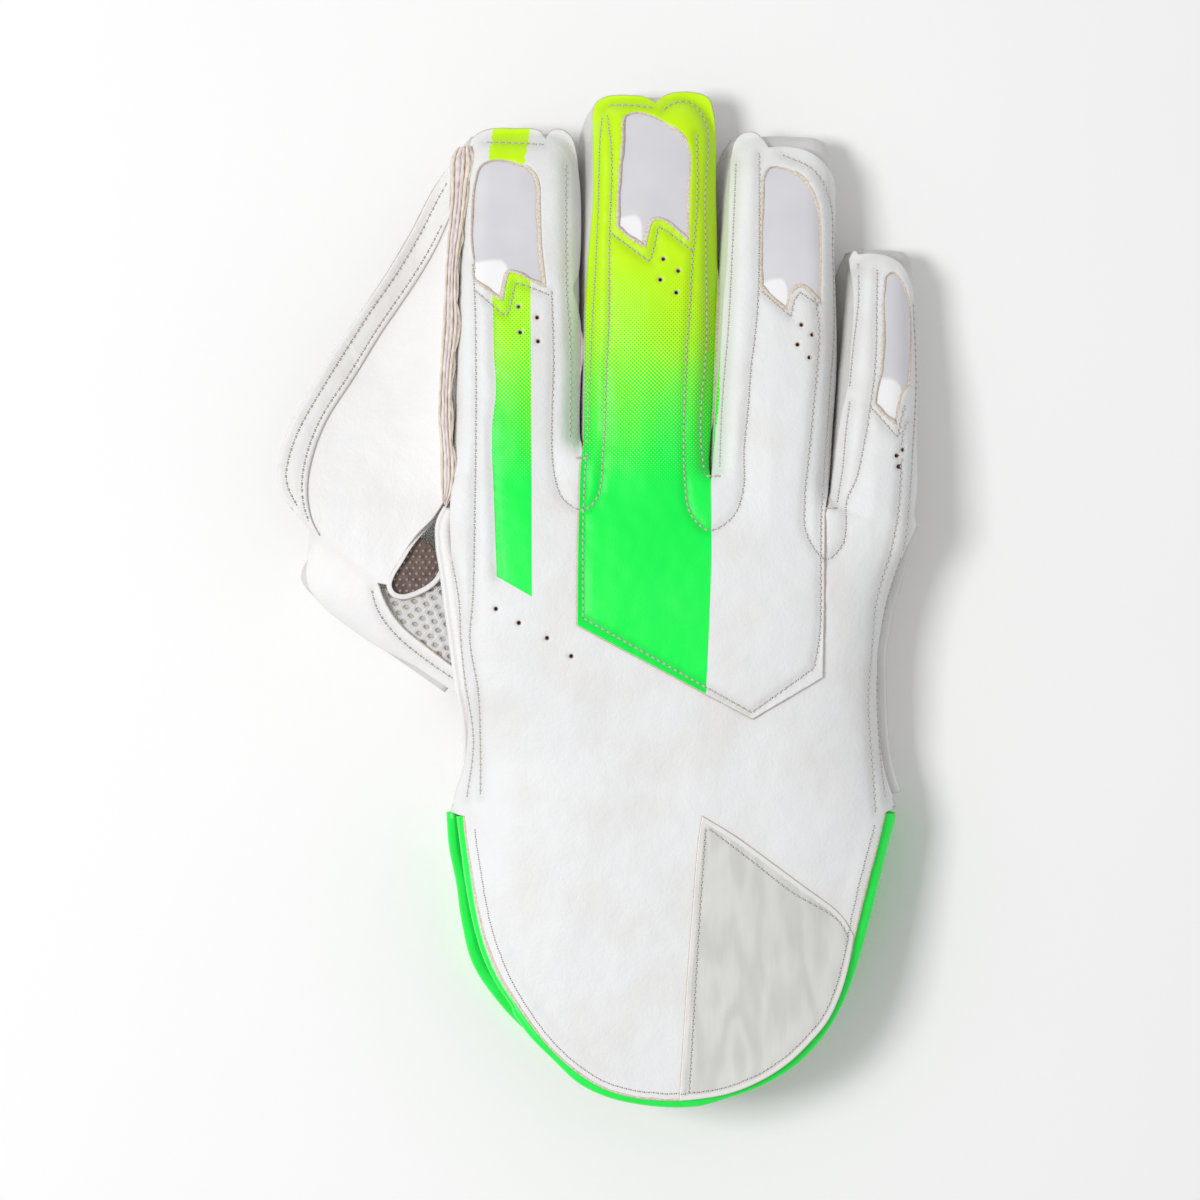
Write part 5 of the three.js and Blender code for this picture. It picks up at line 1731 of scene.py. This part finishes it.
def window_edge_finish():
    look = Look("window_edge")
    fibre = look.noise(1.6, 3.0)
    look.bump(fibre, 0.6, 0.2)
    colour = look.mix(fibre.ramp(0.3, 0.7), shade(232, 224, 212), shade(206, 190, 172))
    return look.done(Base_Color=colour, Roughness=0.9, Specular_IOR_Level=0.2)


window_edge = window_edge_finish()
tip_tree = surface_tree("back_leather", "middle_leather")
edge_shape = np.array([(0.4, 0.1), (0.0, 0.25), (-0.5, 0.05), (-0.95, -0.45), (-1.05, -1.1), (0.25, -1.1)])
for name, ring in windows.items():
    ring = anticlockwise(ring)
    ring = ring[np.append(np.linalg.norm(np.diff(ring, axis=0), axis=1) > 0.2, True)]
    way = unit(np.roll(ring, -1, axis=0) - np.roll(ring, 1, axis=0))
    out = np.column_stack([way[:, 1], -way[:, 0], np.zeros(len(way))])
    base = np.column_stack([ring, all_heights(drop_on(tip_tree, ring + out[:, :2] * 0.7))])
    wide = np.array([0.8 + 0.35 * noise.noise((p[0] * 0.25, p[1] * 0.25, 1.0)) for p in ring])
    wide = wide + 0.3 * np.clip(out[:, 0], 0, 1)
    across = edge_shape[:, 0] * np.where(edge_shape[:, 0] < 0, wide[:, None], 1)
    sections = base[:, None] + out[:, None] * across[..., None] + np.array([0, 0, 1.0]) * edge_shape[:, 1, None]
    points, faces = hoop(sections)
    rim = build(f"{name}_window_edge", points, faces, [window_edge])

# %% [markdown]
# ## The cuff's patch
# A smooth, pearly hide covers the little-finger side of the cuff. It is thin and a bit loose, so it lies in long
# flowing wrinkles along the hand. A slow wave, bent by a second one, gives lines that run side by side like that. The
# same wave makes the colour lighter and darker along the wrinkles: painted sheen and shade.

# %% Patch
patch_ridge = photo((701, 815), (698, 835), (691.5, 910), (685, 997), (679, 1090))
patch_top = photo((701, 815), (735, 836), (768, 860), (803, 886), (840, 915), (853, 936))
patch_side = photo_on_hand(
    (853, 936), (848, 964), (840, 992), (827, 1020), (807, 1044), (788, 1062), (762, 1079), (731, 1092), (700, 1098),
    (679, 1100),
)
patch_ring = anticlockwise(outline(patch_ridge[::-1], patch_top, patch_side, [patch_side[-1], patch_ridge[-1]]))
patch_seams = {
    "patch_ridge": photo((704.5, 826), (700, 888), (694.7, 975), (688, 1088)),
    "patch_top": photo((706.6, 826.6), (746.8, 857), (790, 890.6), (838, 921), (848, 938)),
}
for name, points in patch_seams.items():
    sewn[name] = line(points)


def pearl_finish():
    look = Look("pearl_leather")
    flow = look.noise(0.05, 2.0, (1, 0.28, 1)) * 40.0 + look.axis("X") * 0.35
    wave = look.math("SINE", flow) * 0.5 + look.noise(0.3, 3.0, (2.5, 0.35, 1))
    # Painted sheen and shade: the colour follows the wrinkle wave, lighter and darker.
    colour = look.mix(wave.ramp(-0.2, 1.3), shade(209, 210, 205), shade(222, 222, 219))
    colour = look.mix(look.mark("border").ramp(0.3, 0.7), colour, shade(234, 233, 230))
    look.bump(wave + look.cells(0.9) * 0.2, 0.16, 0.3)
    return look.done(Base_Color=colour, Roughness=0.4, Coat_Weight=0.15, Coat_Roughness=0.25)


flat, faces = fill(patch_ring, pitch=1.0)
patch_tree = finder(np.concatenate([sewn[n] for n in patch_seams]))
rise, seam = relief(flat, patch_tree, swell=0.25, pull=0.3, crease=0.2, seed=6.0)
border_tree = finder(np.concatenate([line(patch_ridge), line(patch_top), line(patch_side)]))
border = np.exp(-((distances(flat, border_tree) / 1.5) ** 4))
folds = np.array([
    noise.noise((x * 0.28 + 1.8 * noise.noise((x * 0.03, y * 0.03, 0.0)), y * 0.035, 2.0)) for x, y in flat
])
patch_z = on_the_edging(flat[:, 0], flat[:, 1]) + 0.85 + rise + 0.2 * folds * (1 - border) + 0.4 * border
patch_z = np.fmax(patch_z, drop_on(tip_tree, flat) + 0.45)
every, all_faces, counts = thicken(np.column_stack([flat, patch_z]), faces, 0.9, bulge=0.2)
marks = {"seam": np.zeros(len(every)), "border": np.zeros(len(every))}
marks["seam"][:len(seam)] = seam
marks["border"][:len(border)] = border
patch_finishes = [pearl_finish(), lining, cut_edge]
patch = build("pearl_patch", every, all_faces, patch_finishes, np.repeat([0, 1, 2], counts), marks)
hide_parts("cuff_patch")

# %% [markdown]
# ## Side seams
# Back and palm are joined along both sides with their edges turned out. On the thumb's side that makes a soft double
# roll that starts at the raw seam and runs down to the cuff. On the little finger's side it is a flat flange, with its
# raw edge outside.

# %% Side seams
thumb_side = line(photo(
    (448, 508), (441, 524), (441, 545), (445, 570), (449, 600), (454, 635), (460, 680), (466, 715), (468, 745),
    (465, 775), (458, 798), (456, 812),
))


def seam_height(sign, y):
    along = np.clip(y / root_line(sign * 70), 0, 1)
    row = rows_at(hand_rows, along)
    return row["seam_left" if sign < 0 else "seam_right"] * hand_depth


side_z = seam_height(-1, thumb_side[:, 1])
side_path = np.column_stack([thumb_side, side_z + 1.2])
share = np.linspace(0, 1, len(side_path))[:, None, None]
double_roll = np.array([
    (-1.9, -2.6), (-2.1, -0.6), (-1.6, 0.5), (-0.9, 0.8), (-0.3, 0.3), (0.4, 0.8), (1.5, 1.0), (2.8, 0.9), (4.0, 0.3),
    (4.3, -1.0), (3.6, -2.6),
])
points, faces = sweep(side_path, double_roll * (0.75 + 0.25 * np.sin(share * math.pi) ** 0.5))
thumb_roll = build("thumb_side_roll", points, faces, [web_leather])
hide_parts("thumb_side_welt")
rows = np.linspace(0, 1, 90)
half = rows_at(hand_rows, rows)["right"] * hand_right
flange_plan = np.column_stack([half, rows * root_line(half)])
flange_path = np.column_stack([flange_plan, seam_height(1, flange_plan[:, 1])])
flange_shape = np.array([
    (1.8, 1.3), (-2.0, 1.1), (-2.9, 0.7), (-3.1, 0.1), (-2.95, 0.0), (-3.1, -0.1), (-2.9, -0.8), (-2.0, -1.1),
    (1.8, -1.2),
])
taper = ease(np.linspace(0, 5, len(flange_path)))[:, None, None] * 0.75 + 0.25
points, faces = sweep(flange_path[::-1], -flange_shape * (1, -1) * taper)
raw = [int(len(f) == 4 and all(i % 9 in (2, 3, 4, 5, 6) for i in f)) for f in faces]
flange = build("little_side_flange", points, faces, [white_leather, cut_edge], raw)
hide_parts("little_side_welt")

# %% [markdown]
# ## The wall above the flange
# Beside the little finger the back's leather ends a little above the flange, and a side wall joins the two. Rays from
# above find where the leather ends at each place along the flange, and a strip is built from there down to the seam.

# %% Side wall above the flange
steps_in = np.arange(0, 12, 0.5)
wall_tops = []
for x, y, z in flange_path[1:-1]:
    inward = np.column_stack([x - steps_in, np.full(len(steps_in), y)])
    heights = drop_on(tip_tree, inward)
    met = np.flatnonzero(~np.isnan(heights))
    wall_tops.append((inward[met[0], 0], heights[met[0]]) if len(met) else (x, z + 1))
wall_tops = np.array(wall_tops)
for column in (0, 1):
    padded_ends = np.pad(wall_tops[:, column], 2, mode="edge")
    wall_tops[:, column] = np.convolve(padded_ends, np.full(5, 0.2), mode="valid")
foot_x, level_y, foot_z = flange_path[1:-1].T
top_x, top_z = wall_tops[:, 0] - 0.9, wall_tops[:, 1] - 0.9
corners = ((top_x - 1, top_z), (top_x, top_z), (foot_x - 0.6, foot_z - 0.2), (foot_x - 1.6, foot_z - 0.2))
points, faces = solid(np.stack([np.column_stack([x, level_y, z]) for x, z in corners], axis=1))
side_wall = build("little_side_wall", points, faces, [shaded_wall_leather])
print("side wall up to", np.max(top_z - foot_z).round(1), "mm high")

# %% [markdown]
# ## The cuff's raw edge
# The white leather on the cuff is cut and left raw where it lies on the green, so a thin cream line runs round the
# tongue. It is thicker at both ends of the tongue, where more of the cut shows.

# %% Raw edge of the cuff's leather
cuff_line = line(cuff_edge)
way = unit(np.gradient(cuff_line, axis=0))
out = np.column_stack([way[:, 1], -way[:, 0], np.zeros(len(way))])
walked = np.arange(len(cuff_line)) / (len(cuff_line) - 1)
thick = 0.45 + 0.9 * ease((0.3 - walked) / 0.12) + 0.5 * ease((walked - 0.8) / 0.1)
thick = thick + 0.25 * np.array([noise.noise((p[0] * 0.4, p[1] * 0.4, 4.0)) for p in cuff_line])
cuff_shape = np.array([(-1, 0.12), (-0.4, 0.22), (0.1, 0.15), (0.4, -0.3), (0.35, -1.0), (-1, -0.9)])
base = np.column_stack([cuff_line, all_heights(drop_on(tip_tree, cuff_line))])
sections = base[:, None] + out[:, None] * cuff_shape[:, :1] * thick[:, None, None]
points, faces = solid(sections + np.array([0, 0, 1.0]) * cuff_shape[:, 1:])
cuff_raw = build("cuff_raw_edge", points, faces, [window_edge])

# %% [markdown]
# ## Thread
# The glove has about eleven hundred stitches on its back. Each is a short sausage of thread whose ends dive into the
# leather, with a dark disc where it dives: painted shade for the needle hole. They are made as one mesh: a ray cast
# from above finds the finished leather under each end of a stitch, so every stitch lies on what it holds.

# %% Stitches
def lie_on(tree, plan, above=90):
    """Points of the plan put on the surface below them, with its normals there."""
    placed, normals = [], []
    for x, y in plan:
        hit, normal, _, _ = tree.ray_cast((x, y, above), (0, 0, -1))
        placed.append(tuple(hit) if hit else (x, y, math.nan))
        normals.append(tuple(normal) if hit else (0, 0, 1))
    return np.array(placed), np.array(normals)


ring_count, station_count = 6, 5


def sausage():
    """A stitch along its first axis: stations from end to end, thinner at both ends."""
    loops = []
    for t in np.linspace(-1, 1, station_count):
        girth = math.sqrt(1 - 0.75 * t**4)
        loops.append(np.column_stack([np.full(ring_count, t), circle(np.zeros(2), girth, ring_count)]))
    return solid(loops)


stitch_shape, stitch_faces = sausage()
hole_disc = circle(np.zeros(2), 0.26, 6)


def sew(name, paths, tree, pitch=2.05, length=1.4, width=0.62, finish=None, proud=0.18):
    """A row of stitches along each path, and dark discs between them: painted shade for the needle holes."""
    points, holes = [], []
    for path in paths:
        walked = even(path, pitch / 2)
        placed, normals = lie_on(tree, walked)
        for i in range(1, len(walked) - 1, 2):
            start, here, end = placed[i - 1:i + 2]
            if np.isnan([start, here, end]).any() or abs(start[2] - end[2]) > 1.5:
                continue
            along = unit((end - start)[None])[0]
            up = unit((normals[i] + (0, 0, 0.4))[None])[0]
            across = np.cross(up, along)
            t, s, h = stitch_shape.T
            arc = proud * (1 - 2.6 * np.abs(t) ** 3)
            slant = 0.12 * t * width
            points.append(
                here + np.outer(t * length / 2, along) + np.outer(s * width / 2 + slant, across)
                + np.outer(h * width / 2 + arc, up)
            )
            # A dark disc where the stitch dives: painted shade for the needle hole.
            disc = np.outer(hole_disc[:, 0], along) + np.outer(hole_disc[:, 1], across)
            holes.append(end + disc + up * 0.03)
    count = len(points)
    faces = [tuple(i + n * len(stitch_shape) for i in f) for n in range(count) for f in stitch_faces]
    first = count * len(stitch_shape)
    faces += [tuple(first + n * 6 + i for i in range(6)) for n in range(len(holes))]
    which = [0] * (count * len(stitch_faces)) + [1] * len(holes)
    row = build(name, np.concatenate(points + holes), faces, [finish or thread, needle_dark], which)
    return count


back_tree = surface_tree("back_leather", "middle_leather", "pearl_patch", "thumb_side_roll")
web_top = surface_tree("web_leather", "web_hem_strip")
web_thread = plain_finish("web_thread", shade(190, 187, 181), shade(164, 160, 153), 0.7)
elsewhere = {*web_seams, "index_strip_left"}
stitches = sew("back_stitches", [sewn[n] for n in sewn if n not in elsewhere], back_tree)
stitches += sew("web_stitches", [sewn[n] for n in web_seams], web_top, pitch=2.2, finish=web_thread)
print("stitches:", stitches)

# %% Cuff rows, bar tacks and vents
inner_row = cuff_line - out[:, :2] * (1.6 + thick[:, None])
sew("cuff_stitches", [inner_row[4:-4]], back_tree, pitch=1.45, length=0.8, width=0.42)
tacks = [photo(*pair) for pair in (((574, 459), (589, 459)), ((704, 477), (719, 477)), ((821, 509), (836, 509)))]
sew("bar_tacks", tacks, back_tree, pitch=2.3, length=2.2, width=0.8)
vent_points, vent_faces = [], []
for n, spot in enumerate(vents):
    z = float(on_the_edging(spot[:1], spot[1:])[0]) - 0.75
    disc = circle(spot, vent_radius + 0.15, 12)
    vent_points.append(np.column_stack([disc, np.full(12, z)]))
    vent_faces.append(tuple(n * 12 + i for i in range(12)))
vents_dark = build("vent_shadows", np.concatenate(vent_points), vent_faces, [vent_dark])

# %% [markdown]
# ## Floor, light and camera
# The glove lies on a plain white floor. Most light comes from all around, as in a light tent, so the shadows are soft.
# One large lamp on the thumb's side shades the fingers to the right and gives the thread and the creases their relief.
# The camera looks straight down from where the photograph was taken.

# %% Floor
floor_mesh = bpy.data.meshes.new("floor")
floor_half = 3
corners = [(x * floor_half, y * floor_half, 0) for x, y in ((-1, -1), (1, -1), (1, 1), (-1, 1))]
floor_mesh.from_pydata(corners, [], [(0, 1, 2, 3)])
floor_look = Look("floor")
spots = floor_look.noise(0.01, 2.0)
floor_mesh.materials.append(floor_look.done(
    Base_Color=floor_look.mix(spots, shade(253, 253, 253), shade(251, 251, 251)),
    Roughness=0.9, Specular_IOR_Level=0.1,
))
floor = bpy.data.objects.new("floor", floor_mesh)
bpy.context.scene.collection.objects.link(floor)

# %% Light
scene = bpy.context.scene
scene.view_settings.view_transform = "Standard"
world = bpy.data.worlds.new("studio")
world.use_nodes = True
world.node_tree.nodes["Background"].inputs["Color"].default_value = (1, 1, 1, 1)
world.node_tree.nodes["Background"].inputs["Strength"].default_value = 0.54
scene.world = world


def soft_box(name, place, size, power, target):
    """A square lamp that faces a point."""
    light = bpy.data.lights.new(name, "AREA")
    light.shape = "SQUARE"
    light.size = size
    light.energy = power
    lamp = bpy.data.objects.new(name, light)
    lamp.location = place
    lamp.rotation_euler = (Vector(target) - Vector(place)).to_track_quat("-Z", "Y").to_euler()
    scene.collection.objects.link(lamp)


soft_box("key", (-0.9, 0.08, 1.5), 0.5, 15.5, (0, 0, 0.03))

# %% Camera
middle_of_view = Vector((-1.6 * mm, -1.7 * mm, 0))
camera_data = bpy.data.cameras.new("camera")
picture_pixels = 1200
camera_data.sensor_width = 36
camera_data.lens = focal_pixels / picture_pixels * camera_data.sensor_width
camera = bpy.data.objects.new("camera", camera_data)
camera.location = middle_of_view + Vector((0, 0, view_height * mm))
scene.collection.objects.link(camera)
scene.camera = camera
print("camera", [round(c, 3) for c in camera.location])
